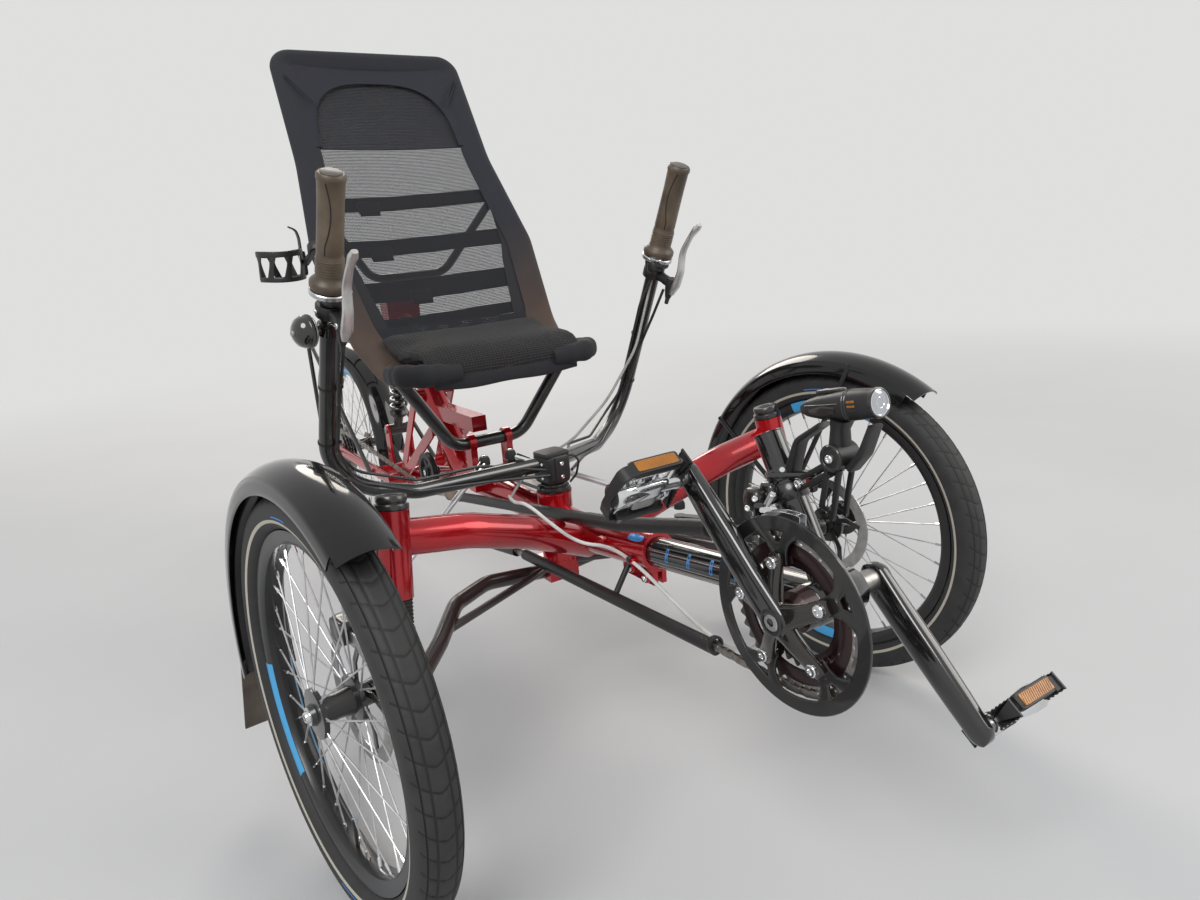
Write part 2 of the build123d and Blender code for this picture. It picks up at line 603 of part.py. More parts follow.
def cranks():
    """The axle, both arms and both pedals."""
    nodes = {}
    angle = math.radians(CRANK_ANGLE)
    way = Vector(0, math.cos(angle), math.sin(angle))
    middle, length = (CRANK_RIGHT_X + CRANK_LEFT_X) / 2, CRANK_LEFT_X - CRANK_RIGHT_X
    axle = disc(middle, BB_Y, BB_Z, BB_AXLE_R, length)
    nodes["crank_axle"] = axle
    for name, side in SIDES.items():
        x = CRANK_LEFT_X if side > 0 else CRANK_RIGHT_X
        tip = BB - way * (side * CRANK_L)
        plane = Plane(origin=(x, BB_Y, BB_Z), x_dir=tip - BB, z_dir=(1, 0, 0))
        wide, slim = CRANK_W / 2, CRANK_TIP_W / 2
        outline = Polyline((0, -wide), (CRANK_L, -slim), (CRANK_L, slim), (0, wide), close=True)
        arm = plane * Pos(0, 0, -CRANK_T / 2) * extrude(make_face(outline), CRANK_T)
        arm += disc(x, BB_Y, BB_Z, wide, CRANK_T) + disc(x, tip.Y, tip.Z, slim, CRANK_T)
        centre = x + side * (CRANK_T / 2 + PEDAL_GAP + PEDAL_L / 2)
        end = centre + side * (PEDAL_L / 2 - 12)
        arm += disc((x + end) / 2, tip.Y, tip.Z, PEDAL_AXLE_R, abs(end - x))
        nodes[f"crank_{name}"] = arm - axle
        pedal = Pos(centre, tip.Y, tip.Z) * Box(PEDAL_L, PEDAL_Y, PEDAL_Z)
        for sign in (-1, 1):
            pedal -= Pos(centre, tip.Y + sign * PEDAL_Y * 0.3, tip.Z) * Box(PEDAL_L - 22, 18, 2 * PEDAL_Z)
        bore = end + side * GAP
        inner = x + side * CRANK_T / 2
        pedal -= disc((inner + bore) / 2, tip.Y, tip.Z, PEDAL_AXLE_R + FIT, abs(bore - inner))
        nodes[f"pedal_{name}"] = pedal
    return nodes


def spider(x, reach, width, thickness):
    """Arms from the crank axle out to a ring, one of them along the right crank."""
    arms = disc(x, BB_Y, BB_Z, BB_AXLE_R + 10, thickness)
    for k in range(SPIDER_ARMS):
        turn = math.radians(CRANK_ANGLE + 360.0 / SPIDER_ARMS * k)
        end = (x, BB_Y + reach * math.cos(turn), BB_Z + reach * math.sin(turn))
        arms += strap((x, BB_Y, BB_Z), end, width, thickness)
    return arms


def ring(x, y, z, outer, inner, thickness):
    return disc(x, y, z, outer, thickness) - disc(x, y, z, inner, 2 * thickness)


def chainrings():
    big = RING_R - CHAIN_H / 2 - GAP
    small = MID_RING_R - CHAIN_H / 2
    x = CHAIN_X + RING_STEP
    rings = ring(CHAIN_X, BB_Y, BB_Z, big, big - RING_BAND, RING_T)
    rings += spider(CHAIN_X, big - RING_BAND + 3, SPIDER_W, RING_T)
    rings += ring(x, BB_Y, BB_Z, small, small - RING_BAND, RING_T)
    rings += spider(x, small - RING_BAND + 3, SPIDER_W, RING_T)
    inner, outer = x + RING_T / 2, GUARD_X + GUARD_T / 2 + GAP
    rings += disc((inner + outer) / 2, BB_Y, BB_Z, BB_AXLE_R + 8, inner - outer)
    return rings - disc(0, BB_Y, BB_Z, BB_AXLE_R, 8 * -CHAIN_X)


def chain_guard():
    guard = ring(GUARD_X, BB_Y, BB_Z, GUARD_R, GUARD_IN_R, GUARD_T)
    guard += spider(GUARD_X, GUARD_IN_R + 3, SPIDER_W, GUARD_T)
    return guard - disc(0, BB_Y, BB_Z, BB_AXLE_R, 8 * -CHAIN_X)


def front_derailleur():
    """A cage of two plates round the chain, held by a clamp on the post."""
    y, z = FRONT_MECH_AT
    plate_x, plate_t, length, height = FRONT_PLATE
    cage = Part()
    for x in (CHAIN_X - plate_x, CHAIN_X + plate_x):
        cage += Pos(x, y, z) * Box(plate_t, length, height)
    across = 2 * plate_x + plate_t
    cage += Pos(CHAIN_X, y + length / 2 - 1, z + 10) * Box(across, 3, 6)
    cage += Pos(CHAIN_X, y - 20, z + 11) * Box(across, 12, 4)
    first, last, wall = FRONT_CLAMP
    low, grip, high = (post_point(at) for at in (first, (first + last) / 2, last))
    cage += rod(low, high, POST_R + wall) - rod(BB, post_point(POST_LENGTH), POST_R)
    link = rod((CHAIN_X + plate_x, y + 6, z + 6), (grip.X - POST_R - 3, grip.Y, grip.Z), FRONT_LINK_R)
    return cage + (link - rod(low, high, POST_R))


def headlamp():
    """A round lamp on a short stem, hinged on an arm from the end of the derailleur's post."""
    _, y, z = LAMP_REAR
    ahead, top, bottom = LAMP_HINGE
    hinge = (0, y - ahead, z - bottom)
    lamp = rod(LAMP_REAR, LAMP_FRONT, LAMP_R)
    lamp += rod((0, y - ahead, z - 30), (0, y - ahead, z + 4), LAMP_STEM_R)
    lamp += rod(hinge, post_point(LAMP_FOOT), LAMP_STEM_R) + rod(hinge, (0, y - ahead, z - top), LAMP_HINGE_R)
    return lamp - rod(BB, post_point(POST_LENGTH), POST_R)


def wheel(name, side, y):
    """A tyre and a spoked wheel whose hub is bored for its axle."""
    x = side * TRACK / 2
    bead = WHEEL_R - TYRE_DEPTH
    carcass = disc(x, y, HUB_Z, WHEEL_R, TYRE_W) - disc(x, y, HUB_Z, bead, TYRE_W + 2)
    edges = carcass.edges().filter_by(GeomType.CIRCLE).sort_by(lambda e: -e.radius)[:2]
    tyre = fillet(edges, TYRE_W / 2 - 4)
    rim_in = bead - RIM_DEPTH
    rim = ring(x, y, HUB_Z, bead - GAP, rim_in, RIM_W)
    rim -= ring(x, y, HUB_Z, bead, rim_in + 2 * RIM_WALL, RIM_W - 2 * RIM_WALL)
    half_in, half_out = (HUB_IN, HUB_OUT) if side else (REAR_HUB_HALF, REAR_HUB_HALF)
    hub = disc(x + side * (half_out - half_in) / 2, y, HUB_Z, HUB_R, half_in + half_out)
    for sign in (-1, 1):
        hub += disc(x + sign * FLANGE_X, y, HUB_Z, FLANGE_R, FLANGE_T)
    if side:
        disc_x = x - side * (HUB_IN - DISC_T / 2)
        hub += ring(disc_x, y, HUB_Z, DISC_R, DISC_R - DISC_RING, DISC_T)
        for k in range(DISC_ARMS):
            turn = math.radians(360.0 / DISC_ARMS * k)
            reach = DISC_R - DISC_RING / 2 - 4
            end = (disc_x, y + reach * math.cos(turn), HUB_Z + reach * math.sin(turn))
            hub += strap((disc_x, y, HUB_Z), end, DISC_ARM_W, DISC_T)
        far, near = x + side * (HUB_OUT - 5), x - side * 2 * HUB_IN
        hub -= disc((far + near) / 2, y, HUB_Z, AXLE_R + FIT, abs(far - near))
    else:
        hub -= disc(x, y, HUB_Z, REAR_AXLE_R + FIT, 4 * REAR_HUB_HALF)
    lead = math.radians(SPOKE_LEAD)
    root, tip = FLANGE_R - 2.5, rim_in + RIM_WALL
    spokes = []
    for k in range(SPOKES):
        turn = math.radians(360.0 * k / SPOKES)
        from_turn = turn + lead * (1 if k % 4 < 2 else -1)
        flange = x + (FLANGE_X if k % 2 else -FLANGE_X)
        start = (flange, y + root * math.cos(from_turn), HUB_Z + root * math.sin(from_turn))
        spokes.append(rod(start, (x, y + tip * math.cos(turn), HUB_Z + tip * math.sin(turn)), SPOKE_R))
    return {f"tyre_{name}": tyre, f"wheel_{name}": Part() + [rim, hub] + spokes}


def fender(x, y, radius, span, width):
    """An arched strip over a wheel between two angles, counted from straight ahead over the top."""
    start, end = span
    half = width / 2
    top = ThreePointArc((-half, -FENDER_CROWN), (0, 0), (half, -FENDER_CROWN))
    under = ThreePointArc((-half + 1, -FENDER_CROWN - 1), (0, -FENDER_T), (half - 1, -FENDER_CROWN - 1))
    face = make_face([top, under, Line(top @ 0, under @ 0), Line(top @ 1, under @ 1)])
    plane = Plane(origin=(x, y, HUB_Z + radius + FENDER_CROWN), x_dir=(1, 0, 0), z_dir=(0, -1, 0))
    spin = Axis((x, y, HUB_Z), (1, 0, 0))
    return revolve(plane * face, spin, end - start).rotate(spin, 90 - end)


def knuckle(name, side):
    """What turns with one front wheel: strut leg, axle, steering arm, caliper, fender and flap."""
    nodes = {}
    x = side * TRACK / 2
    hub_drop = KING_TOP[2] - HUB_Z
    king = Vector(*king_point(side, hub_drop))
    leg = rod(king_point(side, HOUSING_TOP + 4), king_point(side, BALL_DROP), LEG_R)
    leg += rod(king_point(side, HOUSING_BOTTOM + GAP), king_point(side, BELLOWS_BOTTOM), BELLOWS_R)
    leg += rod(king_point(side, BELLOWS_BOTTOM), king_point(side, BALL_DROP), CARRIER_R)
    inner = x - side * (HUB_IN + 8)
    leg += rod(king, (inner, 0, HUB_Z), AXLE_R + 4)
    hub_face = x - side * (HUB_IN + GAP)
    leg += disc((inner + hub_face) / 2, 0, HUB_Z, AXLE_R + 4, abs(hub_face - inner))
    tip = x + side * (HUB_OUT - 5 - GAP)
    leg += disc((inner + tip) / 2, 0, HUB_Z, AXLE_R, abs(tip - inner))
    eye_x, eye_y, eye_z = KNUCKLE_EYE
    arm_z = eye_z - EYE_H / 2 - EYE_DRIFT - STEER_ARM_T / 2
    run = Vector(side * eye_x, eye_y, arm_z) - Vector(*king_point(side, KING_TOP[2] - arm_z))
    start = Plane(origin=king_point(side, KING_TOP[2] - arm_z), x_dir=(run.X, run.Y, 0), z_dir=(0, 0, 1))
    length = math.hypot(run.X, run.Y)
    leg += start * Pos(length / 2, 0, 0) * Box(length, STEER_ARM_W, STEER_ARM_T)
    leg += post(side * eye_x, eye_y, arm_z, STEER_ARM_W / 2 + 2, STEER_ARM_T)
    nodes[f"knuckle_{name}"] = leg

    disc_x = x - side * (HUB_IN - DISC_T / 2)
    inward, caliper_y, below = CALIPER_AT
    caliper_z = HUB_Z + DISC_R - below
    around, beside = CALIPER_SLOT
    reach, foot, arm_r = CALIPER_ARM
    caliper = Pos(disc_x - side * inward, caliper_y, caliper_z) * Box(*CALIPER)
    caliper -= disc(disc_x, 0, HUB_Z, DISC_R + around, DISC_T + beside)
    caliper += rod((disc_x - side * reach, caliper_y, caliper_z), king_point(side, hub_drop - foot), arm_r)
    nodes[f"caliper_{name}"] = caliper - leg

    shell = fender(x, 0, FENDER_R, FENDER_SPAN, FENDER_W)
    edge_x = x - side * (FENDER_W / 2 - 2)
    for angle in (80.0, 145.0):
        foot = king_point(side, hub_drop - 52)
        shell += rod(foot, fender_point(FENDER_R + 1, angle, edge_x, 0), 4.0)
    nodes[f"fender_{name}"] = shell - leg - caliper

    top = fender_point(FENDER_R + 4, FENDER_SPAN[1] - 3, x, 0)
    flap = Box(FLAP_W, FLAP_T, FLAP_L, align=(Align.CENTER, Align.MIN, Align.MAX))
    hung = Pos(*top) * Rot(FLAP_LEAN, 0, 0) * flap - shell
    nodes[f"mud_flap_{name}"] = hung.solids().sort_by(lambda solid: solid.volume)[-1]
    return nodes


def bar_line():
    """The handlebar's whole path, from the right end to the left end."""
    return flip(BAR_PATH[:0:-1], -1) + BAR_PATH


def bar_bends():
    low, high = BAR_BENDS
    return [high, low, BAR_MID_BEND, low, high]


def steering():
    """Handlebar, its clamp on the steering shaft, the plate for the tie rods, grips, levers and bell."""
    nodes = {}
    bar = tube(bar_line(), BAR_R, bar_bends())
    nodes["handlebar"] = bar
    width, length, height = CLAMP
    x, y, z = BAR_PATH[0]
    low = PLATE_Z + PLATE_T / 2
    clamp = block((-width / 2, y - length / 2, low + 12), (width / 2, y + length / 2, z + height / 2))
    clamp += post(0, y, (low + 14 + BOSS_TOP + GAP) / 2, BOSS_R - 2, low + 14 - BOSS_TOP - GAP)
    clamp += post(0, y, (low + SHAFT_BOTTOM + GAP) / 2, SHAFT_R, low - SHAFT_BOTTOM - GAP)
    eye_x, eye_y = PLATE_EYE
    top = PLATE_Z + PLATE_T / 2
    plate = Pos(0, (y + eye_y) / 2, PLATE_Z) * Box(2 * eye_x, eye_y - y, PLATE_T)
    for side in SIDES.values():
        plate += post(side * eye_x, eye_y, PLATE_Z, 11.0, PLATE_T)
        plate += post(side * eye_x, eye_y, top + EYE_COLLAR / 2, TIE_PIN_R + 3, EYE_COLLAR)
        pin = EYE_COLLAR + EYE_H + 2
        plate += post(side * eye_x, eye_y, top + pin / 2, TIE_PIN_R, pin)
    nodes["bar_clamp"] = clamp - bar - plate
    nodes["steering_plate"] = plate
    clamp_half, clamp_wall = LEVER_CLAMP
    body_r, below, above = LEVER_BODY
    grips, levers = Part(), Part()
    for side in SIDES.values():
        top, low = (Vector(*p) for p in flip([BAR_PATH[3], BAR_PATH[2]], side))
        down = (low - top).normalized()
        grip = rod(top - down * 3, top + down * GRIP_L, GRIP_R)
        grip += rod(top + down * GRIP_L, top + down * (GRIP_L + GRIP_FLANGE_T), GRIP_FLANGE_R)
        grips += grip - bar
        clamp_at = top + down * LEVER_DROP
        ahead = Vector(0, -1, 0)
        lever = rod(clamp_at - down * clamp_half, clamp_at + down * clamp_half, BAR_R + clamp_wall)
        pivot = clamp_at + ahead * LEVER_OUT
        lever += rod(clamp_at, pivot, LEVER_ARM_R)
        lever += rod(pivot + down * below, pivot - down * above, body_r)
        tip = pivot - down * LEVER_L + ahead * (LEVER_REACH - LEVER_OUT)
        lever += rod(pivot, tip, LEVER_R) + Pos(*tip) * Sphere(LEVER_R + 1)
        levers += lever - bar
    nodes["grips"] = grips
    nodes["brake_levers"] = levers
    top, low = (Vector(*p) for p in flip([BAR_PATH[3], BAR_PATH[2]], -1))
    bell_at = top + (low - top).normalized() * (LEVER_DROP + BELL_DROP)
    arm_x, arm_y, arm_r = BELL_ARM
    bell = rod(bell_at, bell_at + Vector(arm_x, arm_y, 0), arm_r) - bar
    back = bell_at + Vector(arm_x + 4, arm_y + 1, 0)
    bell += rod(back, back + Vector(-BELL_T, -5, 0), BELL_R)
    nodes["bell"] = bell
    return nodes


def tie_rod(side):
    """From the eye on the steering plate, as the bar stands, to the steering arm, as the wheel stands."""
    eye_x, eye_y = PLATE_EYE
    eye_z = PLATE_Z + PLATE_T / 2 + EYE_COLLAR + GAP + EYE_H / 2
    inner = rotated(Vector(side * eye_x, eye_y, eye_z), BAR_AXIS, BAR_REST)
    outer = rotated(Vector(side * KNUCKLE_EYE[0], *KNUCKLE_EYE[1:]), king_axis(side), STEER_REST)
    link = post(inner.X, inner.Y, inner.Z, EYE_R, EYE_H) + post(outer.X, outer.Y, outer.Z, EYE_R, EYE_H)
    link += rod(inner, outer, TIE_ROD_R)
    link -= post(inner.X, inner.Y, inner.Z - 1.5 * EYE_H, EYE_R + EYE_COLLAR, 2 * EYE_H)
    return link - post(inner.X, inner.Y, inner.Z, TIE_PIN_R + FIT, 3 * EYE_H)


def rotated(point, axis, degrees):
    return Vertex(point.X, point.Y, point.Z).rotate(axis, degrees).center()


def seat_rails(radius):
    """The seat's closed tube: down the left side, across the front, up the right and across the top."""
    bends = [SEAT_CORNER, *reversed(SEAT_BENDS), SEAT_CORNER]
    points = list(reversed(SEAT_RAIL)) + flip(SEAT_RAIL, -1)
    return tube(points, radius, bends + bends[::-1], closed=True)


def seat_stays(extra):
    """The U tube that carries the pan, the U tube behind the back and its two struts."""
    x, y, z = BACK_STAY[0]
    top_y, top_z = UPRIGHT_TOP[1:]
    stays = tube(both(U_TUBE), U_R + extra, U_BEND) + tube(both(BACK_STAY), STAY_TUBE_R + extra, U_BEND)
    for side in SIDES.values():
        stays += rod((side * 16, y, z), (side * 16, top_y, top_z + HEAD[2]), STAY_R + extra)
    return stays


def seat_frame():
    return seat_rails(RAIL_R) + seat_stays(0) - seat_carrier()


def seat_mesh():
    """The stretched back and pan, inside the rails."""
    line = FilletPolyline(*[(0, y, z) for x, y, z in SEAT_RAIL], radius=SEAT_BENDS)
    section = Plane(origin=line @ 0, x_dir=(1, 0, 0), z_dir=line % 0)
    width = 2 * max(x for x, y, z in SEAT_RAIL)
    sheet = sweep(section * Rectangle(width, MESH_T), path=line)
    inner = (sheet - seat_rails(RAIL_R + GAP)).solids().sort_by(lambda solid: solid.volume)[-1]
    return inner - seat_stays(GAP)


def seat_pad():
    """The pan's pad, on top of the mesh and rounded over the front rail."""
    (_, front_y, front_z), (_, mid_y, mid_z), (_, rear_y, rear_z) = SEAT_RAIL[:3]
    lift = RAIL_R + 2 * GAP
    profile = [
        (front_y - lift, front_z - 12), (front_y - lift - PAD_NOSE, front_z - 8),
        (front_y - lift - PAD_NOSE, front_z + PAD_T - 12), (front_y, front_z + PAD_T),
        (mid_y, mid_z + PAD_T + 14), (rear_y - 12, rear_z + 14), (rear_y - 6, rear_z + lift),
        (mid_y + 20, mid_z + 26), (mid_y - 16, mid_z + lift), (front_y, front_z + lift),
        (front_y - lift, front_z),
    ]
    side = make_face(Polyline(*profile, close=True))
    reach = 2 * SEAT_RAIL[2][0]
    body = extrude(Plane.YZ * Pos(0, 0, -reach) * side, 2 * reach)
    wide = [x + RAIL_R for x, y, z in SEAT_RAIL[:3]]
    half = [(wide[0], front_y - 2 * reach), (wide[0], front_y), (wide[1], mid_y), (wide[2], rear_y + reach)]
    plan = make_face(Polyline(*half, *[(-x, y) for x, y in reversed(half)], close=True))
    return (body & extrude(plan, 4 * front_z)) - seat_rails(RAIL_R + GAP) - seat_stays(GAP)


def seat_carrier():
    """The block on top of the frame's upright and the channel under the pan, both welded on."""
    half, length, height = HEAD
    x, y, z = UPRIGHT_TOP
    head = block((-half, y - length / 2, z), (half, y + length / 2, z + height))
    wide, front, low, high = CHANNEL
    trunk = tube(MAIN_PATH, TUBE_R, TUBE_BEND)
    channel = block((-wide, front, low), (wide, y - 100, high)) - trunk
    return Part() + [head - trunk, channel.solids().sort_by(lambda s: s.volume)[-1]]


def rack():
    """Carrier over the rear wheel: a platform of bars on a leg and a diagonal at each side."""
    frame = Part()
    for side in SIDES.values():
        foot_x = side * (SWING_X + SWING_TUBE_R + RACK_R)
        leg = [(foot_x, WHEELBASE - DROPOUT_L, HUB_Z + 8), (side * RACK_WIDE, WHEELBASE, HUB_Z + 50),
               (side * RACK_WIDE, WHEELBASE, RACK_Z - 30), (side * RACK_HALF, WHEELBASE, RACK_Z)]
        frame += tube(leg, RACK_R, 12.0)
        rail_x = side * RACK_HALF
        frame += rod((rail_x, RACK_FRONT_Y, RACK_Z), (rail_x, RACK_REAR_Y, RACK_Z), RACK_R + 0.5)
        frame += rod((foot_x, BRIDGE_Y, HUB_Z + 6), (rail_x, RACK_REAR_Y - 12, RACK_Z), RACK_R)
    for y in RACK_BARS:
        frame += rod((-RACK_HALF, y, RACK_Z), (RACK_HALF, y, RACK_Z), RACK_R - 0.5)
    top = HUB_Z + REAR_FENDER_R + FENDER_CROWN
    frame += post(0, WHEELBASE + 12, (top + GAP + RACK_Z) / 2, RACK_R - 1, RACK_Z - top - GAP)
    return frame - swingarm()


def rear_fender():
    """The rear wheel's fender, held in front by a short bar on the swingarm's bridge."""
    shell = fender(0, WHEELBASE, REAR_FENDER_R, REAR_FENDER_SPAN, FENDER_W)
    foot = (0, BRIDGE_Y + SWING_TUBE_R + GAP + 2, SWING_PIVOT[1] + 2)
    top = fender_point(REAR_FENDER_R + FENDER_CROWN / 2 + 3, REAR_FENDER_SPAN[0] + 3, 0, WHEELBASE)
    return shell + rod(foot, top, RACK_R)


def bottle_cage():
    """Two hoops joined by strips, on a bar clamped to the right rail."""
    x, y, z = CAGE_AT
    bore = CAGE_R - CAGE_WALL
    cage = Part()
    for height in (0, CAGE_H):
        cage += post(x, y, z + height, CAGE_R, CAGE_BAND_H) - post(x, y, z + height, bore, 2 * CAGE_BAND_H)
    strip = Pos(CAGE_R - CAGE_WALL / 2, 0, 0) * Box(CAGE_WALL, CAGE_STRIP_W, CAGE_H)
    for k in range(CAGE_STRIPS):
        cage += Pos(x, y, z + CAGE_H / 2) * Rot(0, 0, 360.0 / CAGE_STRIPS * k) * strip
    rail = rail_point(z + CAGE_H, -1)
    cage += rod((x + CAGE_R - 2, y, z + CAGE_H / 2), rail, CAGE_ARM_R)
    return cage - seat_rails(RAIL_R) - post(x, y, z, bore, 4 * CAGE_H)


def rail_point(z, side):
    """The point of a seat rail at this height on the back."""
    for (x1, y1, z1), (x2, y2, z2) in zip(SEAT_RAIL[2:], SEAT_RAIL[3:]):
        if z1 <= z <= z2:
            share = (z - z1) / (z2 - z1)
            return (side * (x1 + (x2 - x1) * share), y1 + (y2 - y1) * share, z)
    return (side * x2, y2, z2)


def gear_cable():
    """The pale gear cable along the right of the main tube, down and up again to the derailleur."""
    return tube(CABLE_PATH, CABLE_R, CABLE_BENDS)


def build():
    nodes = {
        "main_tube": main_tube(), "crossbeam": crossbeam(), "strut_caps": strut_caps(), "boom": boom(),
        "arm_mount": arm_mount(), "lower_arms": lower_arms(), "swingarm": swingarm(),
        "rear_axle": rear_axle(),
        "shock": shock(), "frame_straps": frame_straps(), "chain": chain(), "chain_tubes": chain_tubes(),
        "idler": idler(), "rear_derailleur": rear_derailleur(), "cassette": cassette(),
        "chainrings": chainrings(), "chain_guard": chain_guard(), "front_derailleur": front_derailleur(),
        "headlamp": headlamp(), "seat_carrier": seat_carrier(), "seat_frame": seat_frame(),
        "seat_mesh": seat_mesh(), "seat_pad": seat_pad(), "rear_rack": rack(), "rear_fender": rear_fender(),
        "bottle_cage": bottle_cage(),
        "gear_cable": gear_cable(),
    }
    nodes.update(cranks())
    for name, side in SIDES.items():
        turning = {**wheel(name, side, 0.0), **knuckle(name, side)}
        nodes.update({key: shape.rotate(king_axis(side), STEER_REST) for key, shape in turning.items()})
        nodes[f"tie_rod_{name}"] = tie_rod(side)
    nodes.update(wheel("rear", 0, WHEELBASE))
    nodes.update({key: shape.rotate(BAR_AXIS, BAR_REST) for key, shape in steering().items()})
    return nodes


def export(nodes):
    """Moves every piece so that the origin is the middle of the footprint, and writes it."""
    box = Compound(children=[s for n in nodes.values() for s in n.solids()]).bounding_box()
    home = Pos(-(box.min.X + box.max.X) / 2, -(box.min.Y + box.max.Y) / 2, -box.min.Z)
    os.makedirs("parts", exist_ok=True)
    for name, shape in nodes.items():
        export_step(home * shape, f"parts/{name}.step")
    print("home", home.position, "size", box.size)


export(build())
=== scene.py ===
import json
import math

import bmesh
import bpy
import numpy as np
from mathutils import Matrix, Vector


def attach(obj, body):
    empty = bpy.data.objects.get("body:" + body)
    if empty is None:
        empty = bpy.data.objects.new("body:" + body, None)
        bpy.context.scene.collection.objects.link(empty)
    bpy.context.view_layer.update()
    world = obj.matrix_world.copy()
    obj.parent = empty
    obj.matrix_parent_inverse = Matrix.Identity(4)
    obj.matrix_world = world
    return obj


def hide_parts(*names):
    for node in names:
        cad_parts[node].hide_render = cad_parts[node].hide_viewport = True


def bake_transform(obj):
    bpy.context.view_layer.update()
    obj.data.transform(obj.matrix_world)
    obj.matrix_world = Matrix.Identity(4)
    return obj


# The looks of a recumbent tadpole trike. Pieces are worked out in millimetres in the frame that the part is
# modelled in: the ground midway between the front hubs is the origin, the rider faces -Y, and left is +X.
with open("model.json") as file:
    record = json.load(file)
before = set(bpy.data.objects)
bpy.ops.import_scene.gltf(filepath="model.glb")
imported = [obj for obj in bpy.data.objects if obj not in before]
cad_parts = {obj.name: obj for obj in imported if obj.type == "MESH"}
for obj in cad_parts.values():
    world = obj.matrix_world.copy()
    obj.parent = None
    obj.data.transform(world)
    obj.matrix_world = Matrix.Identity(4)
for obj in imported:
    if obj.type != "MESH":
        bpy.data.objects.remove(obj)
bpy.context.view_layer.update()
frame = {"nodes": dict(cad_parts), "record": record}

# Sizes that repeat the part's own, in millimetres and degrees
HUB_Z = 250.0
HALF_TRACK = 419.0
WHEELBASE = 1255.0
CRANK_AXLE = np.array([0.0, -355.0, 372.0])
CRANK_L = 170.0
CRANK_ANGLE = 44.3
CRANK_X = {1: 68.0, -1: -75.0}                # of each arm's middle, by side
CHAIN_X = -45.0
CHAIN_PITCH = 12.7
IDLER = np.array([CHAIN_X, 633.0, 310.0])
STEER_REST = 6.7
BAR_REST = 4.4
KING_TOP = np.array([303.0, 48.0, 460.0])
KING_RUN = np.array([0.14, -0.15, -1.0])       # along the steering axis, for each millimetre down
KING_DROP = 246.0                              # from the axis's top to its low end
DISC_IN = 29.0                                 # brake disc's distance inwards from the wheel's middle
BAR_PIVOT = np.array([0.0, 203.0, 0.0])
BAR_TOP = np.array([284.0, 188.0, 830.0])
BAR_LOW = np.array([288.0, 396.0, 398.0])
SEAT_RAIL = [(150.0, 330.0, 548.0), (166.0, 430.0, 540.0), (182.0, 505.0, 590.0), (200.0, 600.0, 738.0),
             (176.0, 700.0, 900.0), (171.0, 802.0, 1098.0)]
SEAT_BENDS = [60.0, 90.0, 90.0, 300.0]
COLLAR = np.array([0.0, -66.0, 334.5])         # front end of the main tube
BOOM_DIR = np.array([0.0, -math.cos(math.radians(7.4)), math.sin(math.radians(7.4))])
BOOM_R = 20.0
POST_R = 15.0                                  # post that carries the front derailleur and the lamp
POST_DIR = np.array([0.0, math.cos(math.radians(61.8)), math.sin(math.radians(61.8))])
SIDES = {"right": -1, "left": 1}

spin = next(j for j in frame["record"]["behaviour"]["joints"] if j["name"] == "crank_spin")
HOME = np.array(spin["pos_m"]) - CRANK_AXLE / 1000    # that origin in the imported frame, in metres


# Shapes

def unit(vector):
    """The vector, or each row of vectors, divided by its length."""
    vector = np.asarray(vector, float)
    return vector / np.linalg.norm(vector, axis=-1, keepdims=True)


def turned(points, origin, axis, degrees):
    """Turns points about a line: the part along the axis stays, the rest goes round by the angle."""
    k = unit(axis)
    v = np.asarray(points, float) - origin
    c, s = math.cos(math.radians(degrees)), math.sin(math.radians(degrees))
    along = (v @ k)[..., None] * k
    return origin + v * c + np.cross(k, v) * s + along * (1 - c)


def king_point(side, drop):
    """A point of a front wheel's steering axis, a height below its top."""
    return (KING_TOP + KING_RUN * drop) * np.array([side, 1, 1])


def steered(side):
    """A placing for what turns with a front wheel, parked a little to the left."""
    low, top = king_point(side, KING_DROP), king_point(side, 0.0)
    return lambda points: turned(points, low, top - low, STEER_REST)


def with_bar(points):
    """A placing for what turns with the bar."""
    return turned(points, BAR_PIVOT, (0, 0, 1), BAR_REST)


def in_scene(name, data):
    """An object of the scene that shows the data, at the origin."""
    obj = bpy.data.objects.new(name, data)
    bpy.context.scene.collection.objects.link(obj)
    return obj


